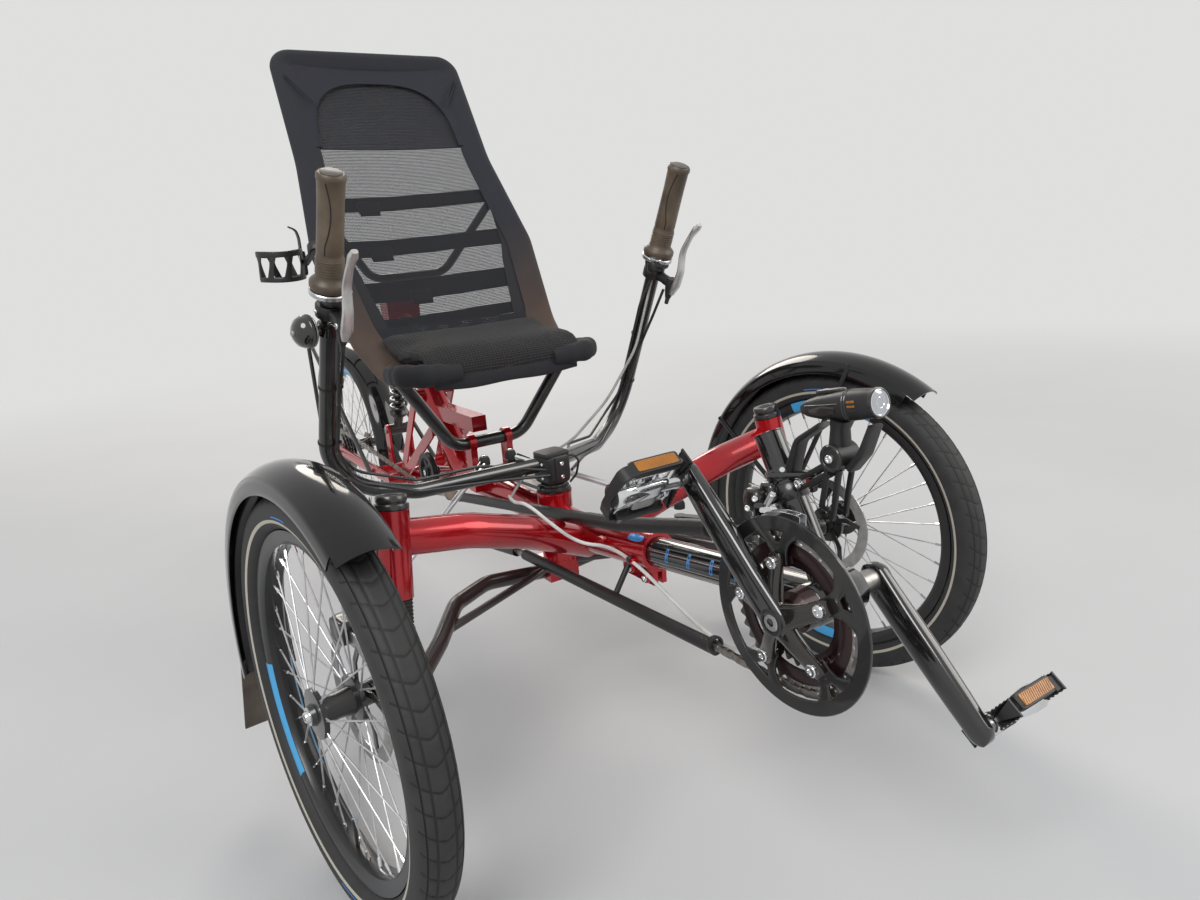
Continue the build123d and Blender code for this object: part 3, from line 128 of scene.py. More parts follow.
def piece(name, shells, materials, body, place=None, replaces=(), sharp=35.0, closed=True):
    """One object from grids of points. A shell is (grid, wrap rows, wrap columns, material number, scale
    of its UV map). Each grid cell is a quad; equal points are merged, and closed shells face outwards."""
    points, quads, uvs, slots = [], [], [], []
    offset = 0
    for shell in shells:
        grid, wrap_rows, wrap_cols, number, scale = shell
        rows, cols = grid.shape[:2]
        i = np.arange(rows if wrap_rows else rows - 1)
        j = np.arange(cols if wrap_cols else cols - 1)
        i, j = (a.ravel() for a in np.meshgrid(i, j, indexing="ij"))
        i2, j2 = (i + 1) % rows, (j + 1) % cols
        quads.append(np.stack([i * cols + j, i2 * cols + j, i2 * cols + j2, i * cols + j2], 1) + offset)
        u = np.stack([i, i + 1, i + 1, i], 1) / max(rows - 1 + wrap_rows, 1) * scale[0]
        v = np.stack([j, j, j + 1, j + 1], 1) / max(cols - 1 + wrap_cols, 1) * scale[1]
        uvs.append(np.stack([u, v], 2).reshape(-1, 2))
        slots.append(np.full(len(i), number))
        points.append(grid.reshape(-1, 3))
        offset += rows * cols
    points, quads = np.concatenate(points), np.concatenate(quads)
    if place is not None:
        points = place(points)
    points = points / 1000 + HOME
    mesh = bpy.data.meshes.new(name)
    mesh.vertices.add(len(points))
    mesh.vertices.foreach_set("co", points.ravel())
    mesh.loops.add(quads.size)
    mesh.loops.foreach_set("vertex_index", quads.ravel().astype(np.int32))
    mesh.polygons.add(len(quads))
    mesh.polygons.foreach_set("loop_start", np.arange(0, quads.size, 4, dtype=np.int32))
    for material in materials:
        mesh.materials.append(material)
    mesh.polygons.foreach_set("material_index", np.concatenate(slots).astype(np.int32))
    mesh.polygons.foreach_set("use_smooth", np.ones(len(quads), bool))
    layer = mesh.uv_layers.new(name="UVMap")
    layer.data.foreach_set("uv", np.concatenate(uvs).ravel())
    mesh.update(calc_edges=True)
    work = bmesh.new()
    work.from_mesh(mesh)
    bmesh.ops.remove_doubles(work, verts=work.verts, dist=1e-6)
    if closed:
        bmesh.ops.recalc_face_normals(work, faces=work.faces)
    work.to_mesh(mesh)
    work.free()
    mesh.set_sharp_from_angle(angle=math.radians(sharp))
    obj = in_scene(name, mesh)
    if body:
        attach(obj, body)
    if replaces:
        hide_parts(*replaces)
    return obj


def raised(value, power):
    """A value raised to a power, with its sign kept: it makes a circle fuller or slimmer."""
    return np.sign(value) * np.abs(value) ** power


def ring_angles(count):
    """Equal angles round a circle, without its end again."""
    return np.linspace(0, 2 * np.pi, count, endpoint=False)


def capped(grid, first, last):
    """A tube of points, closed at each end on one point or line."""
    first, last = (np.broadcast_to(tip, (1, *grid.shape[1:])) for tip in (first, last))
    return np.concatenate([first, grid, last])


def two_faced(front, back):
    """A sheet as one closed grid: columns go across its front and back across its rear, and each end row is
    drawn to the line midway between both."""
    low, high = (np.concatenate([line, line[::-1]])[None] for line in ((front + back) / 2)[[0, -1]])
    return np.concatenate([low, np.concatenate([front, back[:, ::-1]], 1), high])


def square_to(axis):
    """Two directions at right angles to an axis and to each other."""
    axis = unit(axis)
    helper = np.array([0.0, 0.0, 1.0]) if abs(axis[2]) < 0.9 else np.array([1.0, 0.0, 0.0])
    first = unit(np.cross(helper, axis))
    return first, np.cross(axis, first)


def hoop(profile, origin, axis, count=48, number=0, scale=(1.0, 1.0), closed=True):
    """A closed profile of (distance along, radius) turned round an axis: each point goes round by equal
    angles. Rows go round the axis and columns along the profile."""
    profile = np.asarray(profile, float)
    axis = unit(axis)
    first, second = square_to(axis)
    angle = ring_angles(count)[:, None, None]
    round_it = np.cos(angle) * first + np.sin(angle) * second
    grid = np.asarray(origin, float) + profile[None, :, :1] * axis + profile[None, :, 1:] * round_it
    return grid, True, closed, number, scale


def lathe(profile, origin, axis, count=32, number=0, scale=(1.0, 1.0)):
    """A turned shape whose ends are closed on the axis."""
    profile = [(profile[0][0], 0.0), *profile, (profile[-1][0], 0.0)]
    return hoop(profile, origin, axis, count, number, scale, closed=False)


def along(path, up=(0, 0, 1)):
    """Two directions at each point of a path, to the side and up, square to it and to each other."""
    path = np.asarray(path, float)
    ahead = unit(np.gradient(path, axis=0))
    up = np.broadcast_to(np.asarray(up, float), path.shape)
    up = unit(up - np.sum(ahead * up, axis=1, keepdims=True) * ahead)
    return np.cross(ahead, up), up


def pipe(path, radius, count=12, up=(0, 0, 1), number=0):
    """A circle carried along a path. radius is one number or one for each point."""
    path = np.asarray(path, float)
    side, rise = along(path, up)
    angle = ring_angles(count)[None, :, None]
    radius = np.broadcast_to(np.asarray(radius, float), len(path))[:, None, None]
    grid = path[:, None] + radius * (np.cos(angle) * side[:, None] + np.sin(angle) * rise[:, None])
    return capped(grid, path[0], path[-1]), False, True, number, (1.0, 1.0)


def bar_of(path, wide, thick, up, number=0, power=1.0, count=20, scale=(1.0, 1.0)):
    """A bar of changing section: an oval, or with a small power a rounded oblong, whose half widths square
    to up and along up are given for the whole path or for each point."""
    path = np.asarray(path, float)
    side, rise = along(path, up)
    angle = ring_angles(count)[None, :, None]
    c, s = raised(np.cos(angle), power), raised(np.sin(angle), power)
    wide, thick = (np.broadcast_to(np.asarray(a, float), len(path))[:, None, None] for a in (wide, thick))
    grid = path[:, None] + wide * c * side[:, None] + thick * s * rise[:, None]
    return capped(grid, path[0], path[-1]), False, True, number, scale


def strip(path, width, thickness, up, number=0, scale=(1.0, 1.0)):
    """A flat band along a path: a thin oblong section, its wide way square to up, with closed ends."""
    path = np.asarray(path, float)
    side, rise = along(path, up)
    half = np.broadcast_to(np.asarray(width, float) / 2, len(path))[:, None, None]
    across = np.array([-1, -0.96, -0.5, 0, 0.5, 0.96, 1, 0.96, 0.5, 0, -0.5, -0.96])[None, :, None]
    lift = np.array([0, 1, 1, 1, 1, 1, 0, -1, -1, -1, -1, -1])[None, :, None] * thickness / 2
    grid = path[:, None] + half * across * side[:, None] + lift * rise[:, None]
    return capped(grid, path[0], path[-1]), False, True, number, scale


def rounded(points, bends, step=6.0):
    """A path of straight runs joined by arcs: each corner is cut by a circle that touches both runs."""
    points = np.asarray(points, float)
    path = [points[:1]]
    for k, bend in enumerate(bends, 1):
        before, after = unit(points[k - 1] - points[k]), unit(points[k + 1] - points[k])
        half = math.acos(float(np.clip(before @ after, -1, 1))) / 2
        cut = bend / math.tan(half)
        centre = points[k] + unit(before + after) * bend / math.sin(half)
        start, end = points[k] + before * cut - centre, points[k] + after * cut - centre
        sweep = math.pi - 2 * half
        t = np.linspace(0, 1, max(3, int(sweep * bend / step) + 2))[:, None]
        path.append(centre + (np.sin((1 - t) * sweep) * start + np.sin(t * sweep) * end) / math.sin(sweep))
    path.append(points[-1:])
    return np.concatenate(path)


def evenly(path, count):
    """The same path with points at equal distances."""
    gaps = np.linalg.norm(np.diff(path, axis=0), axis=1)
    run = np.concatenate([[0], np.cumsum(gaps)])
    at = np.linspace(0, run[-1], count)
    return np.stack([np.interp(at, run, path[:, k]) for k in range(3)], 1)


def plate(outline, thickness, origin, across, up, inner=None, bevel=0.6, number=0, middle=None):
    """A flat plate from a closed outline of (x, y) in the plane of across and up: the outline is stacked
    through the thickness, drawn in at both faces by the bevel, and closed to the middle or to an inner
    outline."""
    outline = np.asarray(outline, float)
    across, up = unit(across), unit(up)
    out = np.cross(across, up)
    middle = outline.mean(0) if middle is None else np.asarray(middle, float)
    reach = np.linalg.norm(outline - middle, axis=1, keepdims=True)
    drawn = middle + (outline - middle) * (1 - bevel / np.maximum(reach, 2 * bevel))
    half = thickness / 2
    rows = [(drawn, -half), (outline, -half + bevel * 0.6), (outline, half - bevel * 0.6), (drawn, half)]
    if inner is None:
        core = np.broadcast_to(middle, outline.shape)
        rows = [(core, -half)] + rows + [(core, half)]
    else:
        rows = rows + [(np.asarray(inner, float), half), (np.asarray(inner, float), -half)]
    grid = np.stack([np.asarray(origin, float) + flat[:, :1] * across + flat[:, 1:] * up + depth * out
                     for flat, depth in rows])
    return grid, inner is not None, True, number, (1.0, 1.0)


def circle(radius, count=48, wave=0.0, waves=0):
    """An outline whose radius goes up and down with the angle as a cosine, as teeth do."""
    angle = ring_angles(count)
    r = radius + wave * np.cos(waves * angle)
    return np.stack([r * np.cos(angle), r * np.sin(angle)], 1)


def lump(centre, half, across, up, power=0.35, number=0, rows=14, cols=28):
    """A soft-edged block: a sphere whose sines and cosines are raised to a small power."""
    across, up = unit(across), unit(up)
    out = np.cross(across, up)
    lat = np.linspace(-np.pi / 2, np.pi / 2, rows)[:, None]
    lon = np.linspace(-np.pi, np.pi, cols, endpoint=False)[None, :]
    x = raised(np.cos(lat), power) * raised(np.cos(lon), power) * half[0]
    y = raised(np.cos(lat), power) * raised(np.sin(lon), power) * half[1]
    z = raised(np.sin(lat), power) * np.ones_like(lon) * half[2]
    grid = np.asarray(centre, float) + x[..., None] * across + y[..., None] * up + z[..., None] * out
    return grid, False, True, number, (1.0, 1.0)


def block(centre, half, power=0.35, number=0, rows=14, cols=28):
    """A lump that stands square to the trike."""
    return lump(np.asarray(centre, float), half, (1, 0, 0), (0, 1, 0), power, number, rows, cols)


def bolt(centre, axis, radius, height, number=0):
    """A round-headed bolt with a hollow in its head."""
    profile = [(0, radius), (height * 0.75, radius), (height, radius * 0.82), (height, radius * 0.5),
               (height * 0.5, radius * 0.46)]
    return lathe(profile, centre, axis, 16, number)


# Materials

def shader_of(material):
    """The material's own shader."""
    return material.node_tree.nodes["Principled BSDF"]


def maths(tree):
    """Gives a function that adds a Math node on values or sockets to the tree and returns its output."""
    def calc(kind, *values):
        node = tree.nodes.new("ShaderNodeMath")
        node.operation = kind
        for socket, value in zip(node.inputs, values):
            if isinstance(value, (int, float)):
                socket.default_value = value
            else:
                tree.links.new(value, socket)
        return node.outputs[0]
    return calc


def preset(node, **values):
    """Sets a node's inputs by name, with _ for a space."""
    for name, value in values.items():
        node.inputs[name.replace("_", " ")].default_value = value


def grain_group():
    """Colour, roughness and height that vary over a surface: two sizes of noise mix each pair of values."""
    group = bpy.data.node_groups.new("surface_grain", "ShaderNodeTree")
    face = group.interface
    colour, number = "NodeSocketColor", "NodeSocketFloat"
    for name, kind, value in (("Colour", colour, (1, 1, 1, 1)), ("Worn", colour, (1, 1, 1, 1)),
                              ("Smooth", number, 0.3), ("Rough", number, 0.5),
                              ("Scale", number, 20.0), ("Fine", number, 400.0)):
        face.new_socket(name, in_out="INPUT", socket_type=kind).default_value = value
    for name, kind in (("Colour", colour), ("Roughness", number), ("Height", number)):
        face.new_socket(name, in_out="OUTPUT", socket_type=kind)
    nodes = group.nodes
    start, end = nodes.new("NodeGroupInput"), nodes.new("NodeGroupOutput")
    place = nodes.new("ShaderNodeTexCoord")
    broad, fine = nodes.new("ShaderNodeTexNoise"), nodes.new("ShaderNodeTexNoise")
    preset(broad, Detail=5.0)
    preset(fine, Detail=3.0)
    ramp = nodes.new("ShaderNodeMapRange")
    preset(ramp, From_Min=0.38, From_Max=0.68)
    tint = nodes.new("ShaderNodeMix")
    tint.data_type = "RGBA"
    rough = nodes.new("ShaderNodeMapRange")
    for output, target in (
            (place.outputs["Object"], broad.inputs["Vector"]),
            (place.outputs["Object"], fine.inputs["Vector"]),
            (start.outputs["Scale"], broad.inputs["Scale"]),
            (start.outputs["Fine"], fine.inputs["Scale"]),
            (broad.outputs["Fac"], ramp.inputs["Value"]),
            (ramp.outputs["Result"], tint.inputs[0]),
            (start.outputs["Colour"], tint.inputs[6]),
            (start.outputs["Worn"], tint.inputs[7]),
            (broad.outputs["Fac"], rough.inputs["Value"]),
            (start.outputs["Smooth"], rough.inputs["To Min"]),
            (start.outputs["Rough"], rough.inputs["To Max"]),
            (tint.outputs[2], end.inputs["Colour"]),
            (rough.outputs["Result"], end.inputs["Roughness"]),
            (fine.outputs["Fac"], end.inputs["Height"])):
        group.links.new(output, target)
    return group


GRAIN = grain_group()


def finish(name, colour, patch_colour, rough, metallic=0.0, coat=0.0, scale=20.0, fine=400.0, bump=0.05):
    """A procedural finish from the grain group; its colour drifts towards the patch colour in patches: a worn
    tone, with painted sheen on the grips and painted sunlight on the faded cloth.
    """
    material = bpy.data.materials.new(name)
    material.use_nodes = True
    nodes, links = material.node_tree.nodes, material.node_tree.links
    shader = shader_of(material)
    grain = nodes.new("ShaderNodeGroup")
    grain.node_tree = GRAIN
    preset(grain, Colour=(*colour, 1), Worn=(*patch_colour, 1), Smooth=rough[0], Rough=rough[1], Scale=scale,
           Fine=fine)
    links.new(grain.outputs["Colour"], shader.inputs["Base Color"])
    links.new(grain.outputs["Roughness"], shader.inputs["Roughness"])
    preset(shader, Metallic=metallic, Coat_Weight=coat, Coat_Roughness=0.04)
    lift = nodes.new("ShaderNodeBump")
    preset(lift, Strength=bump, Distance=0.0002)
    links.new(grain.outputs["Height"], lift.inputs["Height"])
    links.new(lift.outputs["Normal"], shader.inputs["Normal"])
    return material


def uv_sockets(material):
    """The two numbers of the piece's own UV map."""
    nodes, links = material.node_tree.nodes, material.node_tree.links
    uv = nodes.new("ShaderNodeUVMap")
    uv.uv_map = "UVMap"
    split = nodes.new("ShaderNodeSeparateXYZ")
    links.new(uv.outputs["UV"], split.inputs["Vector"])
    return split.outputs["X"], split.outputs["Y"]


def object_split(material):
    """A Texture Coordinate node and its Object coordinates taken apart."""
    place = material.node_tree.nodes.new("ShaderNodeTexCoord")
    split = material.node_tree.nodes.new("ShaderNodeSeparateXYZ")
    material.node_tree.links.new(place.outputs["Object"], split.inputs["Vector"])
    return place, split


def mix_into(material, mask, colour, rough=None):
    """Paints a colour where the mask is 1, over what feeds the shader's colour now."""
    nodes, links = material.node_tree.nodes, material.node_tree.links
    shader = shader_of(material)
    old = shader.inputs["Base Color"].links[0].from_socket
    blend = nodes.new("ShaderNodeMix")
    blend.data_type = "RGBA"
    links.new(mask, blend.inputs[0])
    links.new(old, blend.inputs[6])
    blend.inputs[7].default_value = (*colour, 1)
    links.new(blend.outputs[2], shader.inputs["Base Color"])
    if rough is not None:
        old_rough = shader.inputs["Roughness"].links[0].from_socket
        value = maths(material.node_tree)("MULTIPLY_ADD", mask, rough - 0.5, old_rough)
        links.new(value, shader.inputs["Roughness"])


def band(calc, value, low, high):
    """1 where a value lies between two limits."""
    return calc("MULTIPLY", calc("GREATER_THAN", value, low), calc("LESS_THAN", value, high))


def add_height(material, height, strength, depth):
    """Sets the bump from one more height, added to the grain's."""
    nodes, links = material.node_tree.nodes, material.node_tree.links
    shader = shader_of(material)
    first = shader.inputs["Normal"].links[0].from_node
    second = nodes.new("ShaderNodeBump")
    preset(second, Strength=strength, Distance=depth)
    links.new(height, second.inputs["Height"])
    links.new(first.outputs["Normal"], second.inputs["Normal"])
    links.new(second.outputs["Normal"], shader.inputs["Normal"])


def woven(name, colour, patch_colour, pitch, bump, depth, sheen, holes=None, on_object=False):
    """Cloth whose threads follow the UV map, or across and up the seat by Object coordinates, in metres: two
    crossed waves give the threads' height, and where the greater is under the limit, a hole opens."""
    material = finish(name, colour, patch_colour, (0.7, 0.9), scale=14.0, fine=900.0, bump=0.15)
    calc = maths(material.node_tree)
    if on_object:
        split = object_split(material)[1]
        u, v = split.outputs["X"], calc("ADD", split.outputs["Y"], split.outputs["Z"])
    else:
        u, v = uv_sockets(material)
    across, down = (calc("COSINE", calc("MULTIPLY", way, 2 * math.pi / pitch)) for way in (u, v))
    height = calc("MAXIMUM", across, down)
    add_height(material, height, bump, depth)
    shader = shader_of(material)
    preset(shader, Sheen_Weight=sheen)
    if holes is not None:
        alpha = calc("SUBTRACT", 1.0, calc("LESS_THAN", height, holes))
        material.node_tree.links.new(alpha, shader.inputs["Alpha"])
    return material


# Paint, metal, rubber and plastic: colour, patch colour (worn tone; on the grips partly painted sheen),
# roughness from and to, metallic, coat, the grain's two scales and its bump
candy_red = finish("candy_red", (0.48, 0.003, 0.010), (0.30, 0.002, 0.007), (0.14, 0.24), 0.45, 0.6, 9.0,
                   1500.0, 0.03)
gloss_black = finish("gloss_black", (0.006, 0.006, 0.007), (0.010, 0.009, 0.009), (0.10, 0.20), 0.0, 1.0,
                     12.0)
satin_black = finish("satin_black", (0.009, 0.009, 0.010), (0.016, 0.014, 0.012), (0.24, 0.38), 0.0, 0.6,
                     16.0)
fender_black = finish("fender_black", (0.003, 0.003, 0.004), (0.008, 0.008, 0.008), (0.08, 0.18), 0.0, 0.5,
                      8.0, 300.0, 0.02)
preset(shader_of(fender_black), Specular_IOR_Level=0.25)
# Gloss black whose bronze tint is a painted warm highlight of the low sun, for the spider arms
black_painted_bronze_glint = finish("black_painted_bronze_glint", (0.020, 0.013, 0.009), (0.012, 0.009, 0.007), (0.16, 0.26), 0.4, 1.0,
                      12.0)
dark_arm = finish("dark_arm", (0.030, 0.016, 0.014), (0.018, 0.010, 0.009), (0.25, 0.4), 0.0, 0.4, 14.0)
ring_brown = finish("ring_brown", (0.030, 0.010, 0.011), (0.016, 0.007, 0.008), (0.32, 0.46), 0.5, 0.3, 25.0)
black_plastic = finish("black_plastic", (0.011, 0.011, 0.012), (0.018, 0.017, 0.017), (0.38, 0.52), 0.0,
                       0.0, 30.0, 900.0, 0.15)
tan_plastic = finish("tan_plastic", (0.24, 0.17, 0.11), (0.16, 0.11, 0.07), (0.45, 0.6))
dark_core = finish("dark_core", (0.004, 0.004, 0.004), (0.008, 0.008, 0.008), (0.5, 0.7))
strap_tie = finish("strap_tie", (0.010, 0.010, 0.010), (0.02, 0.02, 0.02), (0.35, 0.5))
rubber = finish("rubber", (0.012, 0.012, 0.012), (0.024, 0.022, 0.021), (0.6, 0.8), 0.0, 0.0, 25.0, 700.0,
                0.2)
dusty_rubber = finish("dusty_rubber", (0.055, 0.044, 0.034), (0.16, 0.125, 0.095), (0.5, 0.7), 0.0, 0.0, 14.0)
# Brown grip rubber; its lighter patch colour is partly real wear and partly a painted sheen
grip_rubber = finish("grip_rubber", (0.060, 0.044, 0.029), (0.150, 0.110, 0.070), (0.34, 0.52), 0.0, 0.0,
                     16.0, 1200.0, 0.35)
grip_cap = finish("grip_cap", (0.11, 0.10, 0.09), (0.16, 0.145, 0.13), (0.4, 0.6), 0.2, 0.0, 60.0, 900.0, 0.2)
alloy = finish("alloy", (0.62, 0.63, 0.64), (0.45, 0.45, 0.46), (0.22, 0.38), 1.0, 0.0, 40.0, 800.0, 0.08)
polished = finish("polished", (0.80, 0.81, 0.82), (0.66, 0.66, 0.67), (0.08, 0.18), 1.0, 0.0, 30.0)
steel = finish("steel", (0.42, 0.41, 0.40), (0.26, 0.24, 0.22), (0.28, 0.45), 1.0, 0.0, 60.0, 900.0, 0.1)
chain_steel = finish("chain_steel", (0.36, 0.34, 0.32), (0.20, 0.18, 0.16), (0.26, 0.42), 0.9, 0.0, 90.0)
spoke_steel = finish("spoke_steel", (0.66, 0.66, 0.67), (0.46, 0.46, 0.47), (0.34, 0.48), 0.9, 0.0, 50.0)
lever_silver = finish("lever_silver", (0.66, 0.65, 0.63), (0.50, 0.49, 0.47), (0.28, 0.42), 0.85, 0.1, 30.0)
rod_silver = finish("rod_silver", (0.66, 0.65, 0.68), (0.50, 0.49, 0.50), (0.24, 0.38), 0.35, 0.4, 30.0)
cable_white = finish("cable_white", (0.72, 0.72, 0.68), (0.55, 0.54, 0.50), (0.3, 0.45), 0.0, 0.2, 30.0)
cable_grey = finish("cable_grey", (0.30, 0.30, 0.29), (0.22, 0.21, 0.20), (0.3, 0.45), 0.0, 0.3, 30.0)
cable_black = finish("cable_black", (0.015, 0.015, 0.016), (0.03, 0.03, 0.03), (0.35, 0.5), 0.0, 0.1, 30.0)
blue_mark = finish("blue_mark", (0.05, 0.34, 0.82), (0.04, 0.28, 0.70), (0.35, 0.5), 0.0, 0.3)
red_small = finish("red_small", (0.45, 0.01, 0.01), (0.3, 0.01, 0.01), (0.3, 0.4), 0.0, 0.5)
amber = finish("amber", (0.42, 0.16, 0.010), (0.30, 0.10, 0.006), (0.22, 0.4), 0.0, 0.5, 40.0, 1600.0, 0.4)
lens = finish("lens", (0.55, 0.57, 0.60), (0.42, 0.44, 0.48), (0.04, 0.10), 0.6, 1.0, 30.0)

# Cloth: colour, patch colour (worn tone; on the faded cloth painted sunlight), distance of the threads, their
# bump and depth, and sheen
strap_black = woven("strap_black", (0.008, 0.008, 0.009), (0.014, 0.013, 0.014), 0.0022, 0.4, 0.0003, 0.03)
sleeve_cloth = woven("sleeve_cloth", (0.009, 0.010, 0.015), (0.016, 0.015, 0.016), 0.0016, 0.35, 0.0003, 0.04)
# Sun-faded brown cloth; its lighter patch colour is painted sunlight
faded_cloth_painted_sun = woven("faded_cloth_painted_sun", (0.050, 0.034, 0.024), (0.115, 0.078, 0.050), 0.0016, 0.35, 0.0003, 0.05)
pocket_cloth = woven("pocket_cloth", (0.007, 0.008, 0.012), (0.013, 0.012, 0.014), 0.0012, 0.2, 0.0002, 0.04)
mesh_cloth = woven("mesh_cloth", (0.008, 0.009, 0.014), (0.014, 0.014, 0.018), 0.0030, 0.4, 0.0004, 0.02,
                   0.62)
dense_mesh = woven("dense_mesh", (0.006, 0.007, 0.012), (0.010, 0.010, 0.015), 0.0030, 0.45, 0.0005, 0.02,
                   -0.55)
pan_cloth = woven("pan_cloth", (0.009, 0.009, 0.011), (0.022, 0.018, 0.015), 0.0050, 0.9, 0.0016, 0.06,
                  None, True)
head_cloth = woven("head_cloth", (0.008, 0.009, 0.016), (0.012, 0.012, 0.019), 0.0012, 0.25, 0.0002, 0.04,
                   None, True)
band_cloth = woven("band_cloth", (0.006, 0.006, 0.009), (0.010, 0.010, 0.013), 0.0020, 0.3, 0.0003, 0.03,
                   None, True)


def border_finish():
    """The sleeve round the seat: dark above, sun-faded brown towards the pan and on it, painted a lighter
    brown for the sunlight that falls there.
    """
    material = woven("border_cloth", (0.009, 0.010, 0.017), (0.015, 0.015, 0.020), 0.0024, 0.5, 0.0005,
                     0.04, None, True)
    nodes, links = material.node_tree.nodes, material.node_tree.links
    calc = maths(material.node_tree)
    place, split = object_split(material)
    low = nodes.new("ShaderNodeMapRange")
    low.interpolation_type = "SMOOTHSTEP"
    preset(low, From_Min=0.80, From_Max=0.55, To_Min=0.0, To_Max=1.0)
    links.new(split.outputs["Z"], low.inputs["Value"])
    noise = nodes.new("ShaderNodeTexNoise")
    preset(noise, Scale=11.0)
    links.new(place.outputs["Object"], noise.inputs["Vector"])
    faded_and_painted_sun = calc("MULTIPLY", low.outputs["Result"], calc("MULTIPLY_ADD", noise.outputs["Fac"], 1.1, 0.25))
    # Sun-faded brown, made lighter with painted sunlight
    mix_into(material, faded_and_painted_sun, (0.085, 0.052, 0.036))
    return material


# The tread, in shares of the tyre's section and of a turn: blocks round the wheel, how far a cut leans across
# them, half its width, half the tread's width, and the grooves that run round
TREAD_BLOCKS = 62
TREAD_LEAN = 4.0
TREAD_CUT = 0.055
TREAD_HALF = 0.175
TREAD_LINES = [(0.040, 0.056), (0.108, 0.122)]


def tyre_finish():
    """Rubber with a pale stripe on both walls and a block tread, placed by the UV map: U goes round the
    wheel in turns and V round the tyre's section, from the bead over the tread."""
    material = finish("tyre_rubber", (0.018, 0.018, 0.019), (0.028, 0.027, 0.026), (0.55, 0.75), 0.0, 0.0,
                      45.0, 900.0, 0.25)
    calc = maths(material.node_tree)
    u, v = uv_sockets(material)
    mirrored = calc("ABSOLUTE", calc("SUBTRACT", v, 0.5))
    mix_into(material, band(calc, mirrored, 0.291, 0.322), (0.46, 0.43, 0.36), 0.45)
    blue_one = band(calc, calc("FRACT", calc("MULTIPLY", u, 2.0)), 0.44, 0.50)
    blue_row = band(calc, mirrored, 0.262, 0.272)
    mix_into(material, calc("MULTIPLY", blue_one, blue_row), (0.02, 0.22, 0.60))
    slant = calc("MULTIPLY_ADD", mirrored, TREAD_LEAN, calc("MULTIPLY", u, TREAD_BLOCKS))
    cut = calc("LESS_THAN", calc("PINGPONG", slant, 0.5), TREAD_CUT)
    on_tread = calc("LESS_THAN", mirrored, TREAD_HALF)
    for low, high in TREAD_LINES:
        cut = calc("MAXIMUM", cut, band(calc, mirrored, low, high))
    groove = calc("MULTIPLY", cut, on_tread)
    mix_into(material, calc("MULTIPLY", groove, 0.8), (0.003, 0.003, 0.003))
    add_height(material, calc("SUBTRACT", 1.0, groove), 0.6, 0.0008)
    return material


def rim_finish():
    """Black rim with two plain blue bars on each of its walls, by the UV map."""
    material = finish("rim_black", (0.007, 0.007, 0.008), (0.012, 0.012, 0.012), (0.24, 0.36), 0.0, 0.15,
                      20.0)
    calc = maths(material.node_tree)
    u, v = uv_sockets(material)
    bars = band(calc, calc("FRACT", calc("MULTIPLY", u, 2.0)), 0.38, 0.62)
    walls = calc("ADD", band(calc, v, 0.085, 0.235), band(calc, v, 0.515, 0.665))
    mix_into(material, calc("MULTIPLY", bars, walls), (0.05, 0.36, 0.68))
    return material


def rotor_finish():
    """Brushed disc with rows of round holes, cut by the UV map: a hole is where the distance from the nearest
    place of a row, which goes in and out as a sine, is small."""
    material = finish("rotor_steel", (0.48, 0.48, 0.48), (0.36, 0.35, 0.34), (0.25, 0.4), 1.0, 0.0, 80.0)
    calc = maths(material.node_tree)
    u, v = uv_sockets(material)
    row = calc("MULTIPLY", u, 48.0)
    near = calc("SUBTRACT", calc("FRACT", row), 0.5)
    shift = calc("MULTIPLY", calc("SINE", calc("MULTIPLY", row, 2.1)), 0.16)
    off = calc("SUBTRACT", v, calc("ADD", shift, 0.5))
    size = calc("ADD", calc("POWER", near, 2.0), calc("POWER", calc("MULTIPLY", off, 1.9), 2.0))
    material.node_tree.links.new(calc("GREATER_THAN", size, 0.055), shader_of(material).inputs["Alpha"])
    return material


border_cloth = border_finish()
tyre_rubber = tyre_finish()
rim_black = rim_finish()
rotor_steel = rotor_finish()

CAD_FINISH = {
    candy_red: "main_tube crossbeam arm_mount swingarm seat_carrier frame_straps",
    gloss_black: "shock",
    satin_black: "handlebar steering_plate seat_frame rear_rack rear_derailleur knuckle_left knuckle_right",
    dark_arm: "lower_arms",
    black_plastic: "chain_tubes",
    dusty_rubber: "mud_flap_left mud_flap_right",
    fender_black: "fender_left fender_right rear_fender",
    rod_silver: "tie_rod_left tie_rod_right",
    steel: "rear_axle crank_axle",
}
for material, names in CAD_FINISH.items():
    for name in names.split():
        mesh = frame["nodes"][name].data
        mesh.materials.clear()
        mesh.materials.append(material)


# Wheels

def wheel_section(half_width, low, high):
    """The tyre's section: an oval whose sides are fuller than a circle's, drawn from the bead round."""
    angle = np.linspace(-np.pi / 2, 3 * np.pi / 2, 96, endpoint=False)
    s, c = np.sin(angle), np.cos(angle)
    x = half_width * raised(c, 0.78)
    r = (low + high) / 2 + (high - low) / 2 * raised(s, 0.86)
    return np.stack([x, r], 1)


